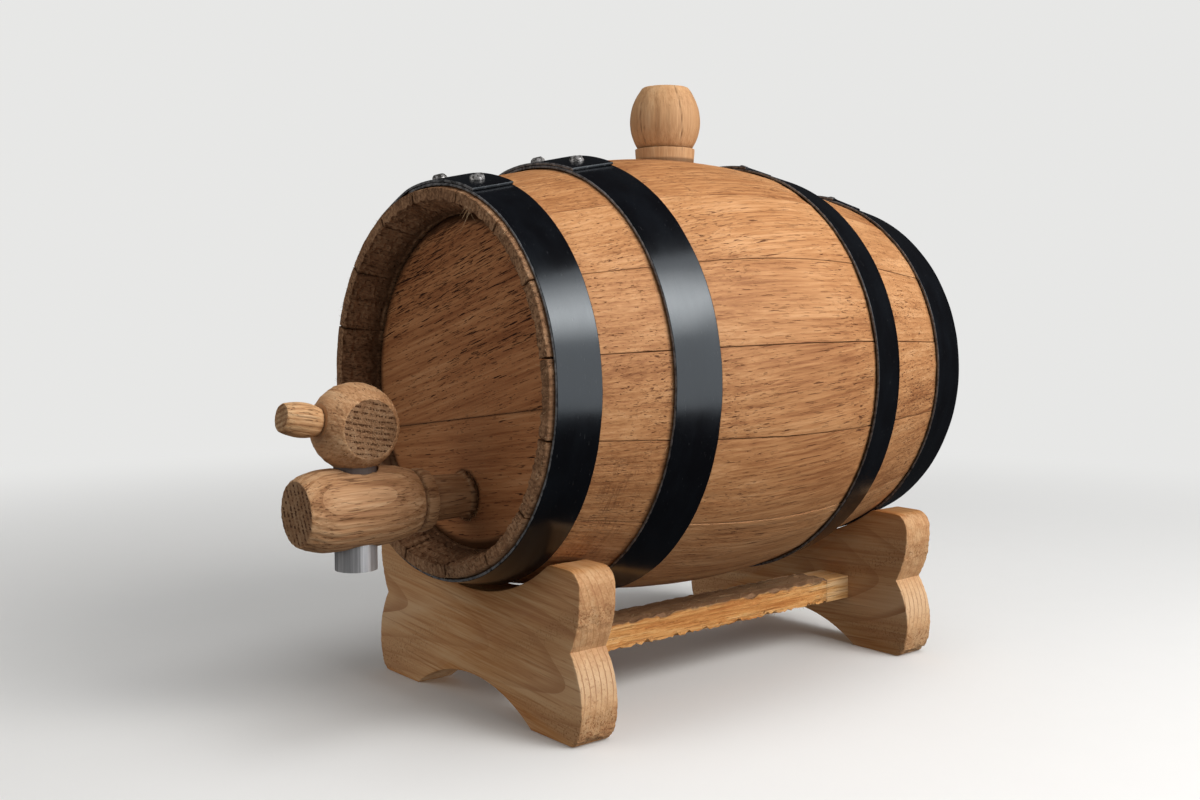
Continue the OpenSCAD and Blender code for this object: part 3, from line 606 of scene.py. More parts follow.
def makeStave(number, tone):
    name = "stave_%02d" % number
    cad = nodePoints(name)
    middle = math.atan2(cad[:, 2].mean() - cask["axisHeight"], cad[:, 0].mean())
    swing = np.angle(np.exp(1j * (np.arctan2(cad[:, 2] - cask["axisHeight"], cad[:, 0]) - middle)))
    low, high = swing.min(), swing.max()
    width = (high - low) * cask["bilgeRadius"]
    across = stations(width, staveSettings["edgeZone"], 30) / width
    along = staveStations()
    depth = np.linspace(0, 1, 6)
    corners, quads, sides = blockSkin((len(across) - 1, len(along) - 1, len(depth) - 1))
    u, forward, w = across[corners[:, 0]], along[corners[:, 1]], depth[corners[:, 2]]
    fromEdge = np.minimum(u, 1 - u) * width
    away = np.abs(forward)

    nearEnd = smoothStep((away - caskHalf + 0.009) / 0.009)
    after = 1 if number == 16 else number + 1
    gaps = [staveSettings["openJoints"].get(k, staveSettings["joint"]) for k in (number, after)]
    flutter = 1 + 0.5 * ripple(triple(forward, 0, 0), 0.016, number)
    opening = staveSettings["chimeJoint"] * nearEnd
    lowGap, highGap = ((gap * flutter + opening) / cask["bilgeRadius"] for gap in gaps)
    angle = middle + (low + lowGap) * (1 - u) + (high - highGap) * u

    spread = (u - 0.5) * width
    sheet = triple(spread, forward, number * 0.05)
    outer = staveRadius(forward) - staveSettings["inset"] - staveSettings["step"] * (number % 3)
    outer += staveSettings["wave"] * ripple(sheet, (0.010, 0.08, 1), number + 40)
    outer += staveSettings["tear"] * ripple(sheet, (0.0022, 0.02, 1), number + 80)
    outer -= arris(fromEdge, staveSettings["arris"]) + arris(caskHalf - away, staveSettings["endArris"])
    inner = insideRadius(forward)
    chipped = triple(spread, forward * 2, w * 0.004 + number)
    rough = staveSettings["bevelRough"] * ripple(chipped, (0.004, 0.003, 0.004), number + 120)
    inner += rough * (away > headOut)
    radius = inner + (outer - inner) * w
    pit = np.abs(ripple(chipped, 0.0016, number + 160)) * staveSettings["pit"] * (away > caskHalf - 1e-6)
    points = onCask(angle, radius, forward - np.sign(forward) * pit)

    slope = 0.05 + 0.05 * math.sin(number * 2.4)
    grain = triple(
        spread + slope * forward + 0.11 * number,
        forward + 0.37 * number,
        radius - cask["bilgeRadius"] + 0.013 * number,
    )
    # Soil darkens the joints, also on the bevel, and worn patches on the lip; the skin is also darker
    # beside the hoops. Painted shade darkens the underside and the bevel near the head.
    isOuter = w > 0.9
    besideHoops = np.zeros(len(u))
    for hoop in hoopNames:
        near, far = forwardSpan(hoop)
        outside = np.maximum(np.maximum(near - forward, forward - far), 0)
        besideHoops = np.maximum(besideHoops, beside(outside, 0.0010))
    patchy = ripple(triple(spread, forward, w * 0.01 + number), (0.0022, 0.004, 0.003), number + 240)
    isBevel = (away > headOut) & (w < 0.9)
    soilAndShade = np.max([
        0.28 * beside(fromEdge, 0.0004) * isOuter,
        0.50 * besideHoops * isOuter,
        # painted shade: the cask's underside is darker
        0.22 * smoothStep(-np.sin(angle) - 0.3) * isOuter,
        # painted shade: the bevel darkens toward the head, deep in the recess
        0.95 * beside(away - headOut, 0.0075) * isBevel,
        0.80 * beside(fromEdge, 0.0009) * isBevel,
        0.60 * smoothStep((patchy - 0.1) / 0.8) * (away > caskHalf - 0.0012),
    ], axis=0)
    # The toothed plane's marks lie in one band between the front hoops, low on the right side.
    heightOnRight = np.where(np.cos(angle) > 0, np.sin(angle), 0)
    isLow = smoothStep((-heightOnRight - 0.20) / 0.2) * smoothStep((heightOnRight + 0.95) / 0.2)
    hatch = beside(np.abs(forward - staveSettings["scoredAt"]), 0.013) * isLow
    hatch *= 0.6 + 0.4 * ripple(sheet, (0.006, 0.006, 1), number + 200)
    marks = {"grain": grain, "soilAndShade": soilAndShade, "tone": tone, "hatch": np.clip(hatch, 0, 1)}

    middleOfFace = away[quads].mean(axis=1)
    isChime = ((sides == 4) & (middleOfFace > headIn)) | (sides == 2) | (sides == 3)
    isChime |= (sides == 5) & (middleOfFace > caskHalf - staveSettings["frayedEdge"])
    finishes = [woods["stave"], woods["chime"]]
    return addPiece("staveSkin_%02d" % number, points, quads, finishes, "cask", [name], marks,
                    isChime)


hoopNames = ["front_end_hoop", "front_quarter_hoop", "rear_quarter_hoop", "rear_end_hoop"]
staveTones = np.random.default_rng(5).uniform(-1, 1, 16)
staveTones[[0, 1, 2, 15]] = (-0.5, 0.3, 0.7, -0.8)
staves = [makeStave(number, staveTones[number - 1]) for number in range(1, 17)]
bungLow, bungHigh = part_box("bung")
bungX, bungY = (bungLow.x + bungHigh.x) / 2, (bungLow.y + bungHigh.y) / 2
cutAway(staves[4], [rodCutter((bungX, bungY, 0.170), (bungX, bungY, 0.20), staveSettings["bungHole"])])
print("staves made")


tapHeight = sum(nodeSpan("tap_body", 2)) / 2
headSettings = {
    "jointDrop": 0.012,
    "jointTilt": math.radians(8),
    "gap": 0.00007,
    "play": 0.0002,
    "rays": 120,
    "rings": 40,
    "wave": 0.00006,
    "tapHole": 0.00735,
}


def makeHeadBoard(name, upper, rear):
    # Rays leave the middle of the joint and end on the rim. The last places on each ray lie on
    # circles about the head's centre, where the face, chamfer, groove shoulder and rim meet.
    drop = headSettings["jointDrop"]
    tongue = cask["crozeWidth"] / 2 - 5e-5
    chamfer = cask["headThickness"] / 2 - tongue
    faceRadius = float(staveRadius(headOut - chamfer)) - cask["wall"] - headSettings["play"] - chamfer
    tongueRadii = [faceRadius + chamfer, faceRadius + chamfer + 2e-5, crozeRadius - 5e-5]
    circles = np.array([faceRadius - 0.0006, faceRadius] + tongueRadii)
    turn = np.linspace(0, math.pi, headSettings["rays"]) + (0 if upper else math.pi)
    share = np.linspace(0, 1, headSettings["rings"])
    depth = np.linspace(0, 1, 4)
    corners, quads, _ = blockSkin((len(turn) - 1, len(share) + len(circles) - 2, len(depth) - 1))
    angle, w = turn[corners[:, 0]], depth[corners[:, 2]]
    lean = drop * np.sin(angle)
    reach = lean[:, None] + np.sqrt(lean[:, None] ** 2 - drop ** 2 + circles[None, :] ** 2)
    step = corners[:, 1]
    inside = step < len(share)
    ring = np.clip(step - len(share) + 1, 0, len(circles) - 1)
    onFace = reach[:, 0] * share[np.minimum(step, len(share) - 1)]
    onRay = np.where(inside, onFace, reach[np.arange(len(step)), ring])
    side = 1 if upper else -1
    x = onRay * np.cos(angle)
    y = onRay * np.sin(angle) - drop + side * headSettings["gap"]
    radius = np.hypot(x, y)
    half = np.interp(radius, [0, faceRadius] + tongueRadii, [cask["headThickness"] / 2] * 2 + [tongue] * 3)
    sheet = triple(x, y * 3, 2.0 * upper + rear)
    bow = headSettings["wave"] * ripple(sheet, (0.05, 0.02, 1), 7 + upper + 2 * rear) * (radius < faceRadius)
    sunk = 0 if upper else 0.00012
    forward = headMid + (w - 0.5) * 2 * half + (bow - sunk) * (w > 0.9)
    tilt = headSettings["jointTilt"]
    across = x * math.cos(tilt) - y * math.sin(tilt)
    up = x * math.sin(tilt) + y * math.cos(tilt)
    points = triple(across, caskMiddle - forward * (-1 if rear else 1), cask["axisHeight"] + up)
    lines = math.radians(8 if upper else 1)
    grain = triple(
        y * math.cos(lines) - x * math.sin(lines) + 0.3 * upper + 0.7 * rear,
        x * math.cos(lines) + y * math.sin(lines) + 0.2,
        forward,
    )
    # Darker along the joint between the boards; painted shade round the rim, where the face meets the chime.
    soilAndShade = np.maximum(0.6 * beside(np.abs(y + drop), 0.0006), 0.85 * beside(faceRadius - radius, 0.0022))
    if not rear:
        # Painted shade in a ring round the tap, where it enters the head.
        fromTap = np.hypot(points[:, 0], points[:, 2] - tapHeight)
        soilAndShade = np.maximum(soilAndShade, beside(fromTap - 0.0078, 0.0014))
    hatch = smoothStep((up - 0.002) / 0.036)
    marks = {"grain": grain, "soilAndShade": soilAndShade, "tone": -0.4 if upper else 0.3, "hatch": hatch}
    return addPiece(name + "Skin", points, quads, [woods["head"]], "cask", [name], marks)


heads = {}
for rear, word in enumerate(("front", "rear")):
    for upper, part in enumerate(("lower", "upper")):
        name = "%s_head_%s" % (word, part)
        heads[name] = makeHeadBoard(name, upper, rear)
holeStart = (0, caskMiddle - headOut - 0.002, tapHeight)
holeEnd = (0, caskMiddle - headIn + 0.002, tapHeight)
cutAway(heads["front_head_lower"], [rodCutter(holeStart, holeEnd, headSettings["tapHole"])])
print("heads made")


hoopSettings = {
    "thickness": 0.001,
    "gap": 0.0001,
    "lapLength": 0.038,
    "lapRamp": 0.014,
    "arris": 0.00022,
    "dent": 0.00006,
    "shiver": 0.00008,      # how far the cut edges wander
    "lapAngles": {
        "front_end_hoop": 86.5,
        "front_quarter_hoop": 87,
        "rear_quarter_hoop": 95,
        "rear_end_hoop": 93,
    },
    "rivetSpacing": 0.021,
    "rivetRadius": 0.0025,
    "rivetHeight": 0.0017,
    "shankRadius": 0.0013,
    "hammered": 0.00018,
}


def hoopSeat(name):
    # The hoop's inside radius at its rear and front edge, and the places of the two edges.
    near, far = forwardSpan(name)
    middle = (near + far) / 2
    radii = staveRadius(np.array([near, middle, far]))
    rise = radii[1] - (radii[0] + radii[2]) / 2 + hoopSettings["gap"]
    return near, far, radii[0] + rise, radii[2] + rise


def makeHoop(name, seed):
    # One strip carried round the cask. It starts under the lap, goes round once, climbs over its
    # own start along the ramp and ends square on top.
    near, far, nearRadius, farRadius = hoopSeat(name)
    middleRadius = (nearRadius + farRadius) / 2
    lap = hoopSettings["lapLength"] / middleRadius
    ramp = hoopSettings["lapRamp"] / middleRadius
    t = hoopSettings["thickness"]
    width = far - near
    total = tau + lap
    path = np.concatenate([
        [0, 0.0015, 0.004],
        np.linspace(0.01, total - 0.01, 760),
        total - np.array([0.004, 0.0015, 0]),
    ])
    across = stations(width, 0.0005, 12)
    depth = np.array([0.0, 0.5, 1.0])
    corners, quads, _ = blockSkin((len(path) - 1, len(across) - 1, len(depth) - 1))
    along, v, w = path[corners[:, 0]], across[corners[:, 1]], depth[corners[:, 2]]
    angle = math.radians(hoopSettings["lapAngles"][name]) + lap / 2 - along
    climb = smoothStep((along - (tau - ramp)) / ramp) * (t + 0.00002)
    forward = near + v
    edge = np.minimum(v, width - v)
    fromEnd = (total - along) * middleRadius
    rounding = arris(edge, hoopSettings["arris"]) + arris(np.minimum(along * middleRadius, fromEnd), 0.0002)
    flow = triple(np.cos(angle) * middleRadius, forward, np.sin(angle) * middleRadius)
    dent = hoopSettings["dent"] * (ripple(flow, 0.03, seed) - 1.2)
    base = nearRadius + (farRadius - nearRadius) * v / width
    radius = base + climb + np.where(w > 0.5, t - rounding + dent, np.where(w < 0.5, rounding * 0.6, t / 2))
    shiver = hoopSettings["shiver"] * np.abs(ripple(flow, (0.02, 1, 0.02), seed + 9))
    shiver *= 1 - edge / (width / 2)
    inward = np.where(v < width / 2, shiver, -shiver)
    points = onCask(angle, radius, forward + inward)
    grain = triple(along * middleRadius + seed, forward, radius)
    wear = beside(edge, 0.00035) * np.where(v > width / 2, 0.72, 0.55)
    marks = {"grain": grain, "wear": np.maximum(wear, 0.5 * beside(fromEnd, 0.0005))}
    addPiece(name + "Strip", points, quads, [metals["hoop"]], "cask", [name], marks, sharp=50)


def makeRivets(name, seed):
    # Two domed heads, flattened by the hammer, each turned about the strip's own normal.
    near, far, nearRadius, farRadius = hoopSeat(name)
    lean = math.atan2(nearRadius - farRadius, far - near)
    seat = (nearRadius + farRadius) / 2 - hoopSettings["gap"]
    top = 2 * hoopSettings["thickness"]
    height, shank = hoopSettings["rivetHeight"], hoopSettings["shankRadius"]
    profile = np.linspace(0, math.pi / 2, 12)[:-1]
    radii = np.concatenate([[shank, shank], hoopSettings["rivetRadius"] * np.cos(profile) ** 0.75])
    along = np.concatenate([[0, top], top + height * np.sin(profile) ** 0.9])
    angle, radius, place, quads = lathe(radii, along, 28, 2)
    local = triple(radius * np.cos(angle), radius * np.sin(angle), place)
    points = []
    for k, side in enumerate((-1, 1)):
        bump = hoopSettings["hammered"] * ripple(local, 0.0022, seed + k) * (place > top + 0.0002)
        up = np.minimum(place + bump, top + height)
        outward = seat + up * math.cos(lean) - local[:, 0] * math.sin(lean)
        forward = (near + far) / 2 + up * math.sin(lean) + local[:, 0] * math.cos(lean)
        at = math.radians(hoopSettings["lapAngles"][name]) + side * hoopSettings["rivetSpacing"] / 2 / seat
        points.append(triple(
            outward * math.cos(at) - local[:, 1] * math.sin(at),
            caskMiddle - forward,
            cask["axisHeight"] + outward * math.sin(at) + local[:, 1] * math.cos(at),
        ))
    quads = np.concatenate([quads, quads + len(local)])
    points = np.concatenate(points)
    addPiece(name + "RivetHeads", points, quads, [metals["rivet"]], "cask", [name + "_rivets"],
             sharp=60)


for k, name in enumerate(hoopNames):
    makeHoop(name, 20 + k)
    makeRivets(name, 60 + 2 * k)
print("hoops and rivets made")


tap = {
    "radius": 0.013, "noseRadius": 0.0103, "noseRun": 0.0106, "straight": 0.013, "shoulderRun": 0.017,
    "neckRadius": 0.0104, "collarRadius": 0.0104, "collarWidth": 0.0048, "collarBulge": 0.0004,
    "grooveDepth": 0.0009,
    "tenonRadius": 0.0078, "tenonTaper": 0.035, "seatDepth": 0.0016, "seatRadius": 0.0073,
    "keySetback": 0.0203, "boreRadius": 0.00673, "passageRadius": 0.003,
    "tornLip": 0.0008, "inset": 0.00012,
}
tapBack, tapFront = forwardSpan("tap_body")
keyForward = tapFront - tap["keySetback"]
keyY = caskMiddle - keyForward


def bowRadius(run, drop):
    # Radius of the arc that falls by `drop` over `run` from a level start.
    return (run * run + drop * drop) / (2 * drop)


def bow(distance, curve):
    # How far an arc has fallen at a distance from its level start.
    return curve - np.sqrt(np.maximum(curve ** 2 - distance ** 2, 0))


straightFront = tapFront - tap["noseRun"]
straightBack = straightFront - tap["straight"]
neck = straightBack - tap["shoulderRun"]
collarBack = neck - tap["collarWidth"]


def tapRadius(forward):
    # The body's radius: nose arc, straight part, shoulder arc, groove, barrel collar and tenon.
    noseBow = bowRadius(tap["noseRun"], tap["radius"] - tap["noseRadius"])
    shoulderBow = bowRadius(tap["shoulderRun"], tap["radius"] - tap["neckRadius"])
    halfCollar = tap["collarWidth"] / 2
    fromCrown = np.clip(forward - neck + halfCollar, -halfCollar, halfCollar)
    parts = [forward < collarBack, forward < neck, forward < straightBack, forward > straightFront]
    radius = np.select(parts, [
        tap["tenonRadius"] - (collarBack - forward) * tap["tenonTaper"],
        tap["collarRadius"] - bow(fromCrown, bowRadius(halfCollar, tap["collarBulge"])),
        tap["radius"] - bow(straightBack - forward, shoulderBow),
        tap["radius"] - bow(forward - straightFront, noseBow),
    ], tap["radius"])
    return radius - tap["grooveDepth"] * np.clip(1 - np.abs(forward - neck) / 0.0009, 0, 1)


def turnedRelief(block, sizes, heights, seed):
    # Long low waves of torn fibre on a turned piece: a coarse and a fine ripple along the grain.
    return sum(height * ripple(block, size, seed + k) for k, (size, height) in enumerate(zip(sizes, heights)))


def makeTapBody():
    along = np.concatenate([
        np.linspace(tapBack, collarBack - 1e-5, 60),
        np.linspace(collarBack, neck - 0.0009, 16),
        np.linspace(neck - 0.0008, neck + 0.0008, 9),
        np.linspace(neck + 0.0009, tapFront - 0.0008, 120),
        tapFront - np.array([0.00035, 0.0002, 0.00008, 0]),
    ])
    angle, radius, place, quads = lathe(tapRadius(along) - arris(tapFront - along, 0.00035), along, 168, 14)
    block = triple(radius * np.cos(angle), place, radius * np.sin(angle))
    isSkin = radius > 0.9 * tapRadius(place)
    isNose = place > tapFront - 1e-6
    relief = turnedRelief(block, [(0.0024, 0.022, 0.0024), (0.0012, 0.009, 0.0012)], [0.00010, 0.00005], 301)
    lip = (place > headOut + 0.0001) * beside(place - headOut - 0.0016, 0.0008)
    torn = 0.55 + 0.45 * ripple(triple(np.cos(angle), place * 200, np.sin(angle)), (0.35, 0.6, 0.35), 305)
    radius = radius + (relief - tap["inset"] + tap["tornLip"] * lip * torn) * isSkin
    pitted = np.abs(ripple(block, (0.0010, 0.004, 0.0010), 303)) * 0.00018 * isNose
    points = triple(radius * np.cos(angle), caskMiddle - (place - pitted), tapHeight + radius * np.sin(angle))
    # Painted shade in the neck's groove, round the tenon where it meets the head and on the tenon under the
    # collar; the nose's end grain is darker.
    soilAndShade = np.max([
        0.55 * beside(np.abs(place - neck), 0.0010),
        0.65 * beside(np.abs(place - headOut - 0.0006), 0.0022),
        0.30 * beside(np.abs(place - collarBack), 0.004) * (place < collarBack),
        0.22 * isNose,
    ], axis=0)
    marks = {"grain": block + np.array([0.4, 0.3, 0.2]), "soilAndShade": soilAndShade, "tone": -0.2, "cut": isNose}
    body = addPiece("tapBodyTurned", points, quads, [woods["turned"]], "cask", ["tap_body"], marks)
    seat = tapHeight + tap["radius"] - tap["seatDepth"]
    cutAway(body, [
        rodCutter((0, keyY, tapHeight - 0.02), (0, keyY, tapHeight + 0.02), tap["boreRadius"]),
        rodCutter((0, keyY, seat), (0, keyY, tapHeight + 0.02), tap["seatRadius"]),
        rodCutter((0, caskMiddle - tapBack + 0.001, tapHeight), (0, keyY, tapHeight), tap["passageRadius"]),
    ])


makeTapBody()

key = {
    "ballRadius": 0.014, "lift": 0.0254, "halfFlats": 0.0104, "tubeRadius": 0.00665, "roof": 0.0056,
    "handleFace": 0.0126, "handleTilt": math.radians(10), "handleLength": 0.0125, "handleRadius": 0.00545,
    "handleEndRadius": 0.00435, "handleTenon": 0.003, "tenonLength": 0.0065, "play": 0.00005,
}
ballCentre = np.array([0, keyY, tapHeight + key["lift"]])
handleWay = np.array([0, -math.cos(key["handleTilt"]), math.sin(key["handleTilt"])])


def makeTapBall():
    half = key["halfFlats"]
    edge = np.array([0, 0.0001, 0.0003])
    along = np.concatenate([edge - half, np.linspace(-half + 0.0007, half - 0.0007, 100), half - edge[::-1]])
    radii = np.sqrt(key["ballRadius"] ** 2 - along ** 2) - arris(half - np.abs(along), 0.0004)
    angle, radius, place, quads = lathe(radii, along, 160, 18)
    y, z = radius * np.cos(angle), radius * np.sin(angle)
    block = triple(z + 0.12 * y, place, y)
    isFlat = np.abs(place) > half - 1e-6
    relief = turnedRelief(block, [(0.0024, 0.016, 0.0024), (0.0011, 0.006, 0.0011)], [0.00009, 0.00005], 311)
    radius = radius + (relief - tap["inset"]) * ~isFlat
    sunk = np.abs(ripple(block, (0.0009, 0.004, 0.0018), 313)) * 0.00022 * isFlat
    across = place - np.sign(place) * sunk
    points = ballCentre + triple(across, radius * np.cos(angle), radius * np.sin(angle))
    spot = ballCentre + handleWay * key["handleFace"]
    # The flats' end grain is darker; painted shade darkens the underside and a ring round the handle's
    # socket.
    soilAndShade = np.maximum(0.15 * isFlat + 0.25 * smoothStep((-z - 0.006) / 0.006),
                      0.55 * beside(np.linalg.norm(points - spot, axis=1) - 0.0045, 0.0022))
    marks = {"grain": block + np.array([0.9, 0.5, 0.1]), "soilAndShade": soilAndShade, "tone": 0, "cut": isFlat}
    ball = addPiece("tapBallTurned", points, quads, [woods["ball"]], "tap_key", ["tap_ball"],
                    marks)
    floorOfHole = spot - handleWay * (key["tenonLength"] + 0.0002)
    roof = ballCentre[2] - key["roof"] + key["play"]
    cutAway(ball, [
        rodCutter(spot, spot + handleWay * 0.01, 0.012),
        rodCutter(floorOfHole, spot + handleWay * 0.002, key["handleTenon"] + key["play"], 48),
        rodCutter((0, keyY, ballCentre[2] - 0.02), (0, keyY, roof), key["tubeRadius"] + key["play"]),
    ])


def makeTapHandle():
    face, end = key["handleFace"], key["handleFace"] + key["handleLength"]
    middle = (face + end) / 2
    curve = bowRadius(key["handleLength"] / 2, key["handleRadius"] - key["handleEndRadius"])
    barrel = np.concatenate([
        face + np.array([0.00005, 0.00015, 0.0004]),
        np.linspace(face + 0.0008, end - 0.0008, 44),
        end - np.array([0.0004, 0.00015, 0]),
    ])
    barrelRadii = key["handleRadius"] - bow(barrel - middle, curve)
    barrelRadii -= arris(end - barrel, 0.0005) + arris(barrel - face, 0.0004)
    along = np.concatenate([[face - key["tenonLength"], face], barrel])
    radii = np.concatenate([[key["handleTenon"], key["handleTenon"]], barrelRadii])
    angle, radius, place, quads = lathe(radii, along, 96, 8)
    block = triple(radius * np.cos(angle), place, radius * np.sin(angle))
    isEnd = place > end - 1e-6
    crack = np.exp(-((np.sin(angle * 3.5 + 0.7)) ** 2) / 0.004)
    crack *= smoothStep((0.0045 - np.abs(place - middle)) / 0.002)
    relief = 0.00008 * ripple(block, (0.0022, 0.012, 0.0022), 321) - 0.00010 - 0.00018 * crack
    radius = radius + relief * ((place > face + 1e-5) & ~isEnd)
    sunk = np.abs(ripple(block, (0.0010, 0.004, 0.0010), 322)) * 0.00014 * isEnd
    side = np.array([1.0, 0, 0])
    up = np.cross(side, handleWay)
    aside = np.outer(radius * np.cos(angle), side) + np.outer(radius * np.sin(angle), up)
    points = ballCentre + np.outer(place - sunk, handleWay) + aside
    # The crack and the end grain are darker; painted shade at the root, where the handle meets the ball.
    soilAndShade = np.max([0.45 * crack, 0.15 * isEnd, 0.4 * beside(place - face, 0.0009)], axis=0)
    marks = {"grain": block + np.array([0.2, 0.8, 0.6]), "soilAndShade": soilAndShade, "tone": 0.5, "cut": 0.3 * isEnd}
    addPiece("tapHandleTurned", points, quads, [woods["handle"]], "tap_key", ["tap_handle"], marks)


makeTapBall()
makeTapHandle()
print("tap made")


bung = {
    "plugRadius": 0.01075, "plugTaper": 0.08, "show": 0.0042, "footRadius": 0.0101, "radius": 0.013,
    "widest": 0.0098, "topRadius": 0.0085, "height": 0.0223, "dome": 0.0007,
    "inset": 0.00014,
}


def makeBung():
    low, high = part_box("bung")
    base = high.z - bung["dome"] - bung["height"] - bung["show"]
    bottom = low.z - base
    widest, top = bung["show"] + bung["widest"], bung["show"] + bung["height"]
    lowerBow = bowRadius(bung["widest"], bung["radius"] - bung["footRadius"])
    upperBow = bowRadius(bung["height"] - bung["widest"], bung["radius"] - bung["topRadius"])
    plug = np.append(np.linspace(bottom, bung["show"] - 0.0004, 40), [bung["show"] - 0.00015, bung["show"]])
    knob = np.concatenate([
        [bung["show"] + 1e-5],
        np.linspace(bung["show"] + 0.0002, top - 0.0007, 90),
        top - np.array([0.0004, 0.00015, 0]),
    ])
    knobRadii = bung["radius"] - bow(knob - widest, np.where(knob < widest, lowerBow, upperBow))
    knobRadii -= arris(top - knob, 0.0004) + arris(knob - bung["show"], 0.0003)
    plugRadii = bung["plugRadius"] + plug * bung["plugTaper"] - arris(bung["show"] - plug, 0.0003)
    angle, radius, place, quads = lathe(np.append(plugRadii, knobRadii), np.append(plug, knob), 168, 12)
    block = triple(radius * np.cos(angle), place, radius * np.sin(angle))
    isTop = place > top - 1e-7
    isSide = ~isTop & (place > bottom + 1e-7)
    isKnob = (place > bung["show"]) & isSide
    relief = turnedRelief(block, [(0.0045, 0.030, 0.0045), (0.0016, 0.010, 0.0016)], [0.00006, 0.00003], 331)
    torn = beside(np.abs(place - bung["show"]), 0.0016)
    ragged = 0.00025 * np.abs(ripple(block, (0.0010, 0.0012, 0.0010), 333)) * torn
    cracks = np.exp(-(np.sin(angle * 2.5 + 0.4 + 18 * place) ** 2) / 0.0016) * isKnob
    cracks *= smoothStep((ripple(block, (0.008, 0.03, 0.008), 334) + 0.1) / 0.3)
    relief = relief - bung["inset"] - ragged - 0.00025 * cracks
    radius = radius + relief * isSide * np.where(isKnob, 1.0, 0.35)
    dome = bung["dome"] * (1 - (radius / bung["topRadius"]) ** 2) * isTop
    sunk = np.abs(ripple(block, (0.0010, 0.004, 0.0010), 335)) * 0.00012 * isTop
    up = base + place + dome - sunk
    points = triple(bungX + radius * np.cos(angle), bungY + radius * np.sin(angle), up)
    # The cracks and the torn foot of the knob are darker; painted shade where the plug meets the stave.
    soilAndShade = np.max([0.55 * cracks, 0.50 * torn * (place > bung["show"]), 0.7 * beside(place, 0.0008)], axis=0)
    marks = {"grain": block + np.array([0.6, 0.2, 0.9]), "soilAndShade": soilAndShade, "tone": np.where(isKnob, -0.1, 0.7)}
    addPiece("bungTurned", points, quads, [woods["bung"]], "bung", ["bung"], marks)


makeBung()
print("bung made")


stand = {
    "footWidth": 0.1192, "footHeight": 0.012, "shoulderWidth": 0.117, "shoulderDrop": 0.0087,
    "notchWidth": 0.1078, "notchHeight": 0.0293, "archWidth": 0.0672, "archHeight": 0.0108,
    "footRound": 0.005, "shoulderRound": 0.006, "arris": 0.0004, "cradleGap": 0.0003,
    "inset": 0.00016,
}


def arcPoints(centre, radius, start, end, count):
    turn = np.linspace(start, end, count)
    return np.stack([centre[0] + radius * np.cos(turn), centre[1] + radius * np.sin(turn)], -1)


def boardOutline(height, cradle):
    # The right half from the arch's crown round to the cradle's bottom, as arcs that meet, then
    # the same points mirrored.
    footDepth = (stand["footWidth"] - stand["notchWidth"]) / 2
    shoulderDepth = (stand["shoulderWidth"] - stand["notchWidth"]) / 2
    widest = height - stand["shoulderDrop"]
    foot = bowRadius(stand["notchHeight"] - stand["footHeight"], footDepth)
    shoulder = bowRadius(widest - stand["notchHeight"], shoulderDepth)
    arch = bowRadius(stand["archWidth"] / 2, stand["archHeight"])
    footX, shoulderX = stand["footWidth"] / 2 - foot, stand["shoulderWidth"] / 2 - shoulder
    axis = cask["axisHeight"]
    r, q = stand["footRound"], stand["shoulderRound"]
    footSide = math.sqrt((foot - r) ** 2 - (stand["footHeight"] - r) ** 2)
    footTurn = math.atan2(r - stand["footHeight"], footSide)
    topLine = height - q
    shoulderSide = math.sqrt((shoulder - q) ** 2 - (topLine - widest) ** 2)
    shoulderTurn = math.atan2(topLine - widest, shoulderSide)
    lipX = math.sqrt((cradle + q) ** 2 - (axis - topLine) ** 2)
    lipTurn = math.atan2(lipX, axis - topLine)
    notchX = stand["notchWidth"] / 2
    notchOnFoot = math.atan2(stand["notchHeight"] - stand["footHeight"], notchX - footX)
    notchOnShoulder = math.atan2(stand["notchHeight"] - widest, notchX - shoulderX)
    archTurn = math.asin(stand["archWidth"] / 2 / arch)
    sole = np.linspace(stand["archWidth"] / 2 + 0.001, footX + footSide - 0.001, 10)
    half = np.concatenate([
        arcPoints((0, stand["archHeight"] - arch), arch, quarter, quarter - archTurn, 26),
        np.stack([sole, 0 * sole], -1),
        arcPoints((footX + footSide, r), r, -quarter, footTurn, 12),
        arcPoints((footX, stand["footHeight"]), foot, footTurn, notchOnFoot, 26)[1:],
        arcPoints((shoulderX, widest), shoulder, notchOnShoulder, shoulderTurn, 30)[1:],
        arcPoints((shoulderX + shoulderSide, topLine), q, shoulderTurn, quarter, 12)[1:],
        arcPoints((lipX, topLine), q, quarter, quarter + lipTurn, 10),
        arcPoints((0, axis), cradle, lipTurn - quarter, -quarter, 40)[1:],
    ])
    other = half[-2:0:-1] * np.array([-1, 1])
    return np.concatenate([half, other])


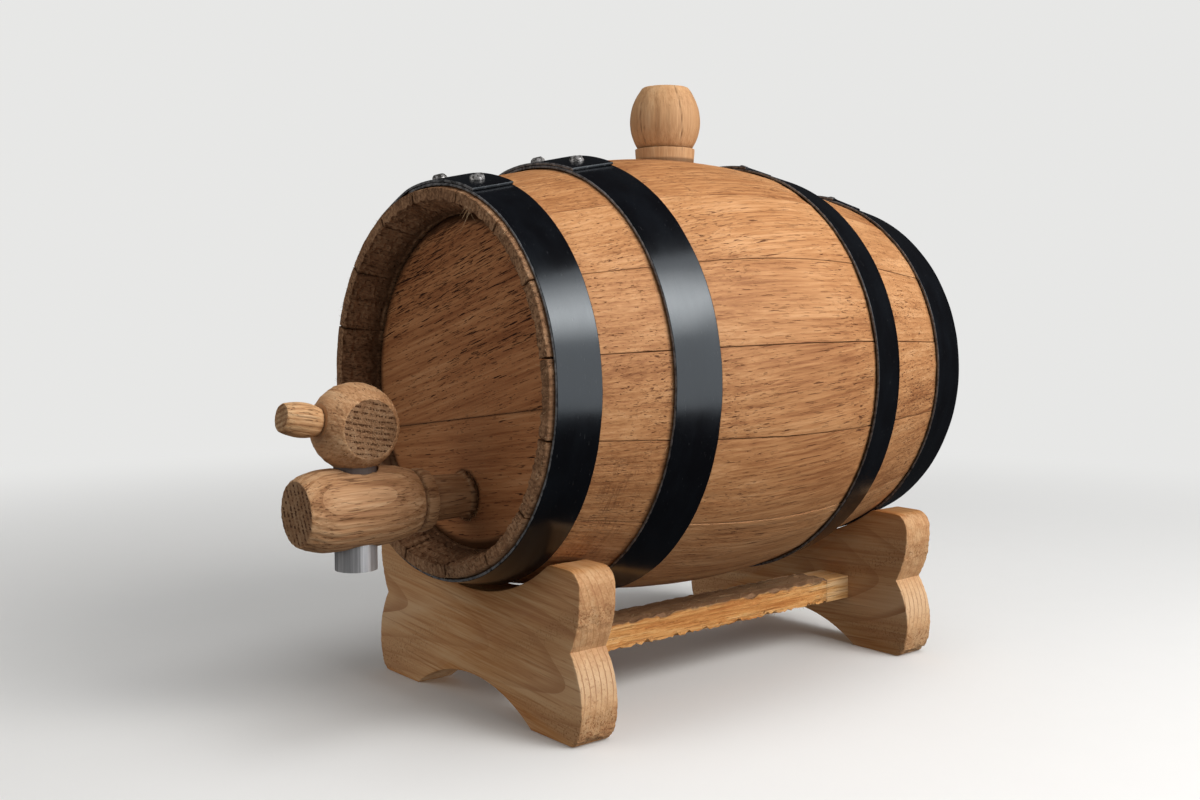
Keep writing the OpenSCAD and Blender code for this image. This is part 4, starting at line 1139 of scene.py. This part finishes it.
def makeBoard(name, seed, lift):
    low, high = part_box(name)
    height = high.z
    nearest = min(abs(caskMiddle - low.y), abs(caskMiddle - high.y))
    hoop = "front_end_hoop" if low.y < caskMiddle else "rear_end_hoop"
    reach = max(nearest, min(abs(v) for v in forwardSpan(hoop)))
    hoopOut = float(staveRadius(reach)) + hoopSettings["gap"] + hoopSettings["thickness"]
    cradle = stand["cradleGap"] + max(float(staveRadius(nearest)), hoopOut)
    outline = boardOutline(height, cradle)
    ahead = np.roll(outline, -1, axis=0) - np.roll(outline, 1, axis=0)
    inward = np.stack([-ahead[:, 1], ahead[:, 0]], -1) / np.linalg.norm(ahead, axis=1)[:, None]
    edge = stand["arris"]
    y = stations(high.y - low.y, edge, 14)
    inset = arris(np.minimum(y, (high.y - low.y) - y), edge)
    around = len(outline)
    ring = outline[None] + inward[None] * inset[:, None, None]
    place = np.repeat(low.y + y, around)
    x, z = ring[..., 0].ravel(), ring[..., 1].ravel()
    # Saw marks and torn grain on the edges, strongest on the sawn outer curves.
    flow = triple(x, place, z)
    onOuter = smoothStep((np.abs(x) - 0.040) / 0.01) * (np.tile(outline[:, 1], len(y)) > 0.0004)
    down = 1 - z / high.z
    torn = np.maximum(beside(np.abs(down - 0.27), 0.13), smoothStep((down - 0.76) / 0.08))
    speckle = ripple(flow, (0.0016, 0.0016, 0.0011), seed + 2)
    sawn = (0.00010 + 0.00008 * torn) * ripple(flow, (1, 0.0035, 0.0022), seed) + 0.00008 * torn * speckle
    fray = 0.00035 * np.abs(ripple(flow, (0.004, 0.002, 0.002), seed + 1)) * smoothStep((0.012 - z) / 0.008)
    push = np.tile(inward, (len(y), 1)) * ((stand["inset"] - sawn + fray) * onOuter)[:, None]
    points = triple(x + push[:, 0], place, np.maximum(z + push[:, 1], 0))
    quads = ringQuads(len(y), around)
    ends = [np.arange(around)[::-1], np.arange(around) + (len(y) - 1) * around]
    tilt = math.radians(4.0 if seed < 450 else -3.0)
    grain = triple(
        (z - 0.03) * math.cos(tilt) + x * math.sin(tilt),
        x * math.cos(tilt) - (z - 0.03) * math.sin(tilt) + 0.2 * (seed % 7),
        place - low.y + lift,
    )
    endGrain = smoothStep((np.abs(np.tile(inward[:, 0], len(y))) - 0.35) / 0.3)
    endGrain = endGrain * (0.35 + 0.65 * beside(np.abs(down - 0.63), 0.2))
    torn = torn * onOuter
    marks = {"grain": grain, "soilAndShade": 0.15 * torn, "tone": 0.2, "cut": endGrain, "hatch": torn}
    addPiece(name + "Sawn", points, quads, [woods["board"]], "stand", [name], marks, ends=ends)


stretcher = {
    "rearTenon": 0.013,     # from the shoulder to the rear board's face
    "tenonInset": 0.0006,
    "fuzz": 0.00045,
    "waves": 0.0003,
    "tear": 0.0011,
    "notch": 0.0007,
}


def makeStretcher():
    # A sawn slat, rough on its right and upper side, with torn lower and upper right edges.
    low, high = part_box("stretcher")
    frontFace = nodeSpan("front_board", 1)[1]
    shoulder = nodeSpan("rear_board", 1)[0] - stretcher["rearTenon"]
    x = stations(high.x - low.x, 0.0006, 12)
    y = np.concatenate([
        [low.y],
        np.linspace(frontFace + 0.00005, shoulder, 110),
        [shoulder + 2e-5],
        np.linspace(shoulder + 0.001, high.y, 14),
    ])
    z = stations(high.z - low.z, 0.0006, 10)
    corners, quads, _ = blockSkin((len(x) - 1, len(y) - 1, len(z) - 1))
    flow = triple(low.x + x[corners[:, 0]], y[corners[:, 1]], low.z + z[corners[:, 2]])
    along = flow[:, 1]
    isTenon = (along > shoulder + 1e-5) | (along < frontFace)
    sideways = (flow[:, 0] - low.x) / (high.x - low.x)
    upward = (flow[:, 2] - low.z) / (high.z - low.z)

    def roughness(name, size, seed):
        return stretcher[name] * np.abs(ripple(flow, size, seed))

    fuzz = roughness("fuzz", (0.0014, 0.004, 0.0014), 501) + roughness("waves", (0.004, 0.012, 0.004), 502)
    tear = roughness("tear", (0.003, 0.006, 0.003), 503) * (sideways > 0.9) * (upward < 0.1) * ~isTenon
    notch = roughness("notch", (0.004, 0.009, 0.004), 504) * (upward > 0.9) * (sideways > 0.9) * ~isTenon
    points = triple(
        flow[:, 0] - np.where(isTenon, stretcher["tenonInset"], fuzz * 0.7) * sideways,
        along,
        flow[:, 2] - np.where(isTenon, stretcher["tenonInset"], fuzz * 0.8) * upward + tear - notch,
    )
    grain = triple(points[:, 0] + 0.03 * along, along, points[:, 2]) + np.array([0.1, 0.9, 0.4])
    onCorner = smoothStep((sideways * upward - 0.93) / 0.07)
    # The top face, its upper right corner and a band at the shoulder are darker.
    soilAndShade = np.maximum(0.80 * (upward > 0.999), 0.45 * onCorner) * ~isTenon
    soilAndShade = soilAndShade + 0.25 * beside(np.abs(along - shoulder), 0.0006)
    marks = {"grain": grain, "soilAndShade": soilAndShade, "tone": np.where(isTenon, 0.8, -0.6)}
    addPiece("stretcherSawn", points, quads, [woods["stretcher"]], "stand", ["stretcher"],
             marks)


makeBoard("front_board", 401, 0.0)
makeBoard("rear_board", 451, 0.004)
makeStretcher()
print("stand made")


fibres = {
    "rim": 420, "bevel": 170, "tuft": 9, "hoopEdges": 90, "tenon": 46, "slat": 230, "feet": 60,
    "thickness": 0.000055,
}


def makeFibres(name, roots, ways, lengths, seed, body, thick=1.0, bending=0.35):
    # Thin tapering splinters. Each runs from its root along its way and bends aside with the
    # square of the distance; its section is a small square that shrinks to a point.
    rng = np.random.default_rng(seed)
    ways = ways / np.linalg.norm(ways, axis=1)[:, None]
    t = np.array([0, 0, 0.2, 0.45, 0.7, 0.9, 1.0])[None, :, None]
    width = np.array([0, 1, 0.9, 0.75, 0.5, 0.25, 0])[None, :, None, None]
    bend = rng.normal(size=ways.shape) * bending
    side = np.cross(ways, rng.normal(size=ways.shape))
    side /= np.linalg.norm(side, axis=1)[:, None]
    other = np.cross(ways, side)
    reach = lengths[:, None, None] * t
    centre = roots[:, None] + ways[:, None] * reach + bend[:, None] * reach * t
    half = thick * fibres["thickness"] * rng.uniform(0.6, 1.5, len(roots))[:, None, None, None] * width
    turn = (np.arange(4) * quarter)[None, None, :, None]
    around = np.cos(turn) * side[:, None, None] + np.sin(turn) * other[:, None, None]
    points = (centre[:, :, None] + half * around).reshape(-1, 3)
    each = 4 * t.size
    quads = (ringQuads(t.size, 4)[None] + (np.arange(len(roots)) * each)[:, None, None]).reshape(-1, 4)
    tone = np.repeat(rng.uniform(-1.5, 1.5, len(roots)), each)
    marks = {"grain": points + rng.uniform(0, 1, 3), "soilAndShade": 0, "tone": tone}
    addPiece(name, points, quads, [woods["fibre"]], body, [], marks)


def caskWays(angle, outward, around, forward):
    # Directions given by how far they go outward, round the cask and forward.
    across = outward * np.cos(angle) - around * np.sin(angle)
    return triple(across, -forward, outward * np.sin(angle) + around * np.cos(angle))


def makeCaskFibres():
    # Round the lip, on the bevel, one tuft at its top, along the hoops' edges and round the tap's tenon.
    rng = np.random.default_rng(71)
    count = fibres["rim"]
    angle = rng.uniform(0, tau, count)
    isNearRim = rng.random(count) < 0.6
    depth = np.where(isNearRim, rng.uniform(0.0002, 0.0010, count), rng.uniform(0.0010, 0.0036, count))
    roots = onCask(angle, cask["endRadius"] - depth, caskHalf - 0.0004)
    ways = caskWays(angle, rng.normal(0, 0.5, count), rng.normal(0, 0.7, count), rng.uniform(0.4, 1, count))
    makeFibres("rimFibres", roots, ways, rng.uniform(0.0005, 0.0013, count), 72, "cask")

    count = fibres["bevel"]
    angle = rng.uniform(0, tau, count)
    place = rng.uniform(headOut + 0.001, caskHalf - 0.0005, count)
    roots = onCask(angle, insideRadius(place) + 0.0002, place)
    outward, around = rng.uniform(-0.7, -0.15, count), rng.normal(0, 0.4, count)
    ways = caskWays(angle, outward, around, rng.uniform(0.3, 1, count))
    makeFibres("bevelFibres", roots, ways, rng.uniform(0.0006, 0.0022, count), 73, "cask")

    count = fibres["tuft"]
    angle = math.radians(70) + rng.normal(0, 0.025, count)
    place = caskHalf - rng.uniform(0.0005, 0.003, count)
    roots = onCask(angle, insideRadius(place) + 0.0002, place)
    outward, around = rng.uniform(-1.0, -0.5, count), rng.normal(0, 0.35, count)
    ways = caskWays(angle, outward, around, rng.uniform(-0.1, 0.4, count))
    makeFibres("splinterTuft", roots, ways, rng.uniform(0.003, 0.006, count), 74, "cask", 2.0)

    count = fibres["hoopEdges"]
    angle = rng.uniform(math.radians(-15), math.radians(195), count)
    spans = np.array([forwardSpan(name) for name in hoopNames])
    spans[0, 1] = spans[1, 1]
    spans[3, 0] = spans[2, 0]
    pick, end = rng.integers(0, 4, count), rng.integers(0, 2, count)
    place = spans[pick, end] + np.where(end == 1, 0.0003, -0.0003)
    roots = onCask(angle, staveRadius(place) - 0.0002, place)
    outward, around = rng.uniform(0.1, 0.5, count), rng.normal(0, 0.5, count)
    ways = caskWays(angle, outward, around, np.where(end == 1, 1.0, -1.0))
    lengths = rng.uniform(0.0006, 0.0022, count)
    makeFibres("hoopEdgeFibres", roots, ways, lengths, 75, "cask", thick=1.3)

    count = fibres["tenon"]
    angle = rng.uniform(0, tau, count)
    spread = 0.0079 + rng.uniform(-0.0001, 0.0005, count)
    roots = triple(spread * np.cos(angle), caskMiddle - headOut + 0.0003, tapHeight + spread * np.sin(angle))
    ways = triple(
        np.cos(angle) * rng.uniform(0.1, 0.9, count),
        -rng.uniform(0.3, 1, count),
        np.sin(angle) * rng.uniform(0.1, 0.9, count),
    ) + rng.normal(0, 0.2, (count, 3))
    lengths = rng.uniform(0.0004, 0.0015, count)
    makeFibres("tenonFibres", roots, ways, lengths, 76, "cask", thick=3.2, bending=0.12)


def makeStandFibres():
    rng = np.random.default_rng(81)
    low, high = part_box("stretcher")
    count = fibres["slat"]
    place = rng.uniform(nodeSpan("front_board", 1)[1] + 0.001, nodeSpan("rear_board", 1)[0] - 0.015, count)
    onTop = rng.random(count) < 0.6
    x = np.where(onTop, rng.uniform(low.x + 0.0004, high.x - 0.0005, count), high.x - 0.0007)
    z = np.where(onTop, high.z - 0.0006, low.z + rng.uniform(0.0003, 0.001, count))
    roots = triple(x, place, z)
    ways = triple(rng.uniform(-0.2, 0.9, count), rng.normal(0, 0.9, count), np.where(onTop, 0.5, -0.4))
    makeFibres("slatFibres", roots, ways, rng.uniform(0.0005, 0.0019, count), 82, "stand", 1.2)

    count = fibres["feet"]
    side = rng.choice([-1, 1], count)
    board = rng.choice(["front_board", "rear_board"], count)
    spans = {name: nodeSpan(name, 1) for name in ("front_board", "rear_board")}
    place = np.array([spans[name][int(end)] for name, end in zip(board, rng.integers(0, 2, count))])
    height = rng.uniform(0.0015, 0.010, count)
    reach = 0.0590 - 0.0046 * (1 - height / 0.010) ** 2
    roots = triple(side * (reach - 0.0006), place, height)
    ways = triple(side * rng.uniform(0.2, 0.8, count), rng.normal(0, 0.5, count), rng.normal(0, 0.5, count))
    makeFibres("footFibres", roots, ways, rng.uniform(0.0004, 0.0012, count), 83, "stand")


makeCaskFibres()
makeStandFibres()
print("fibres made")


carriedOver = {
    "front_head_dowels": woods["dowel"],
    "rear_head_dowels": woods["dowel"],
    "tap_tube": metals["tube"],
}
for name, finish in carriedOver.items():
    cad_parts[name].data.materials.clear()
    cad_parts[name].data.materials.append(finish)


view = {
    "azimuth": 50.15, "elevation": 4.62, "roll": 0.05,
    "place": (0.35964, -0.3278, 0.13852),   # from the point on the table under the cask's middle
    "focal": 39.14, "sensor": 36.0,
    "floorRings": (0.0, 0.3, 0.6, 1.0, 1.6, 2.6, 4.0, 7.0),
}
pale = (0.80, 0.80, 0.79)


def makeCamera():
    data = bpy.data.cameras.new("camera")
    data.lens = view["focal"]
    data.sensor_width = view["sensor"]
    data.clip_start = 0.01
    camera = placed("camera", data)
    az, el = math.radians(view["azimuth"]), math.radians(view["elevation"])
    back = Vector((math.sin(az) * math.cos(el), -math.cos(az) * math.cos(el), math.sin(el)))
    camera.matrix_world = (-back).to_track_quat("-Z", "Y").to_matrix().to_4x4()
    camera.rotation_euler.rotate_axis("Z", math.radians(view["roll"]))
    camera.location = (view["place"][0], view["place"][1] + caskMiddle, view["place"][2])
    bpy.context.scene.camera = camera


def makeFloor():
    # A round floor that fades into the backdrop's colour far from the cask.
    around = 96
    angle, radius = np.meshgrid(np.linspace(0, tau, around, endpoint=False), view["floorRings"])
    points = triple(radius * np.cos(angle), radius * np.sin(angle), -0.0001).reshape(-1, 3)
    mesh = bpy.data.meshes.new("floor")
    mesh.from_pydata(points, [], ringQuads(len(view["floorRings"]), around)[:, ::-1].tolist())
    s = Shader("paleFloor", Specular_IOR_Level=0.1)
    cloud = s.noise(s.place(), (60, 60, 60), detail=4)
    s.finish(s.mix(s.times(cloud, 0.12), pale, (0.70, 0.70, 0.69)), 0.9)
    glow = s.node("Emission", {"Color": pale, "Strength": 1.0}, "Emission")
    far = s.band(s.length(s.place()), 0.20, 0.75)
    blend = s.node("MixShader", {0: far, 1: s.surface.outputs[0], 2: glow})
    s.feed(s.tree.nodes["Material Output"].inputs["Surface"], blend)
    mesh.materials.append(s.material)
    floor = placed("floor", mesh)
    floor.visible_glossy = False
    floor.visible_diffuse = False


def makeLamp(name, place, target, size, power, colour=(1, 1, 1), mirrored=True, shape="RECTANGLE"):
    data = bpy.data.lights.new(name, "AREA")
    data.shape = shape
    data.size, data.size_y = size
    data.energy = power
    data.color = colour
    lamp = placed(name, data)
    lamp.location = place
    lamp.rotation_euler = (Vector(target) - Vector(place)).to_track_quat("-Z", "Y").to_euler()
    lamp.visible_glossy = mirrored


def makeWorld():
    # Three skies: the backdrop that the camera sees, a dark one for mirrored light, and a soft grey
    # one that lights the piece.
    world = bpy.data.worlds.new("studio")
    world.use_nodes = True
    bpy.context.scene.world = world
    nodes, links = world.node_tree.nodes, world.node_tree.links

    def sky(node, colour, strength):
        node.inputs["Color"].default_value = colour + (1,)
        node.inputs["Strength"].default_value = strength
        return node.outputs[0]

    def choose(ray, usual, special):
        blend = nodes.new("ShaderNodeMixShader")
        for socket, value in zip(blend.inputs, (path.outputs[ray], usual, special)):
            links.new(value, socket)
        return blend.outputs[0]

    path = nodes.new("ShaderNodeLightPath")
    ground = sky(nodes["Background"], (0.80, 0.80, 0.80), 0.26)
    dim = sky(nodes.new("ShaderNodeBackground"), (0.02, 0.021, 0.023), 1.0)
    backdrop = sky(nodes.new("ShaderNodeBackground"), pale, 1.0)
    lighting = choose("Is Glossy Ray", ground, dim)
    links.new(choose("Is Camera Ray", lighting, backdrop), nodes["World Output"].inputs["Surface"])


makeCamera()
makeFloor()
makeWorld()
heart = (0, 0, 0.10)
warm = (1.0, 0.97, 0.93)
keyPlace = Vector((0.80, 0.27, 0.70))
makeLamp("keyLamp", keyPlace, (0, 0.02, 0.10), (0.50, 0.46), 2.2, warm, mirrored=False)
for size, power in ((0.15, 0.19), (0.32, 0.82), (0.52, 2.05)):
    # Three ellipses, one behind another, give the hoops a highlight that fades outward.
    place = keyPlace * (0.9 + 0.2 * size)
    makeLamp("glow%02d" % (size * 100), place, (0, 0.02, 0.10), (size * 1.2, size), power, (1.0, 0.97, 0.94),
             shape="ELLIPSE")
makeLamp("windowLamp", (0.78, 0.30, 0.43), (0.05, 0, 0.12), (0.90, 1.20), 6.4, (0.97, 0.98, 1.0))
makeLamp("fillLamp", (-0.35, -1.0, 0.50), heart, (0.9, 0.9), 2.9, warm)
makeLamp("topLamp", (0.15, 0.10, 1.0), heart, (0.5, 0.5), 3.2, mirrored=False)
bpy.context.scene.view_settings.view_transform = "Standard"
print("studio made")
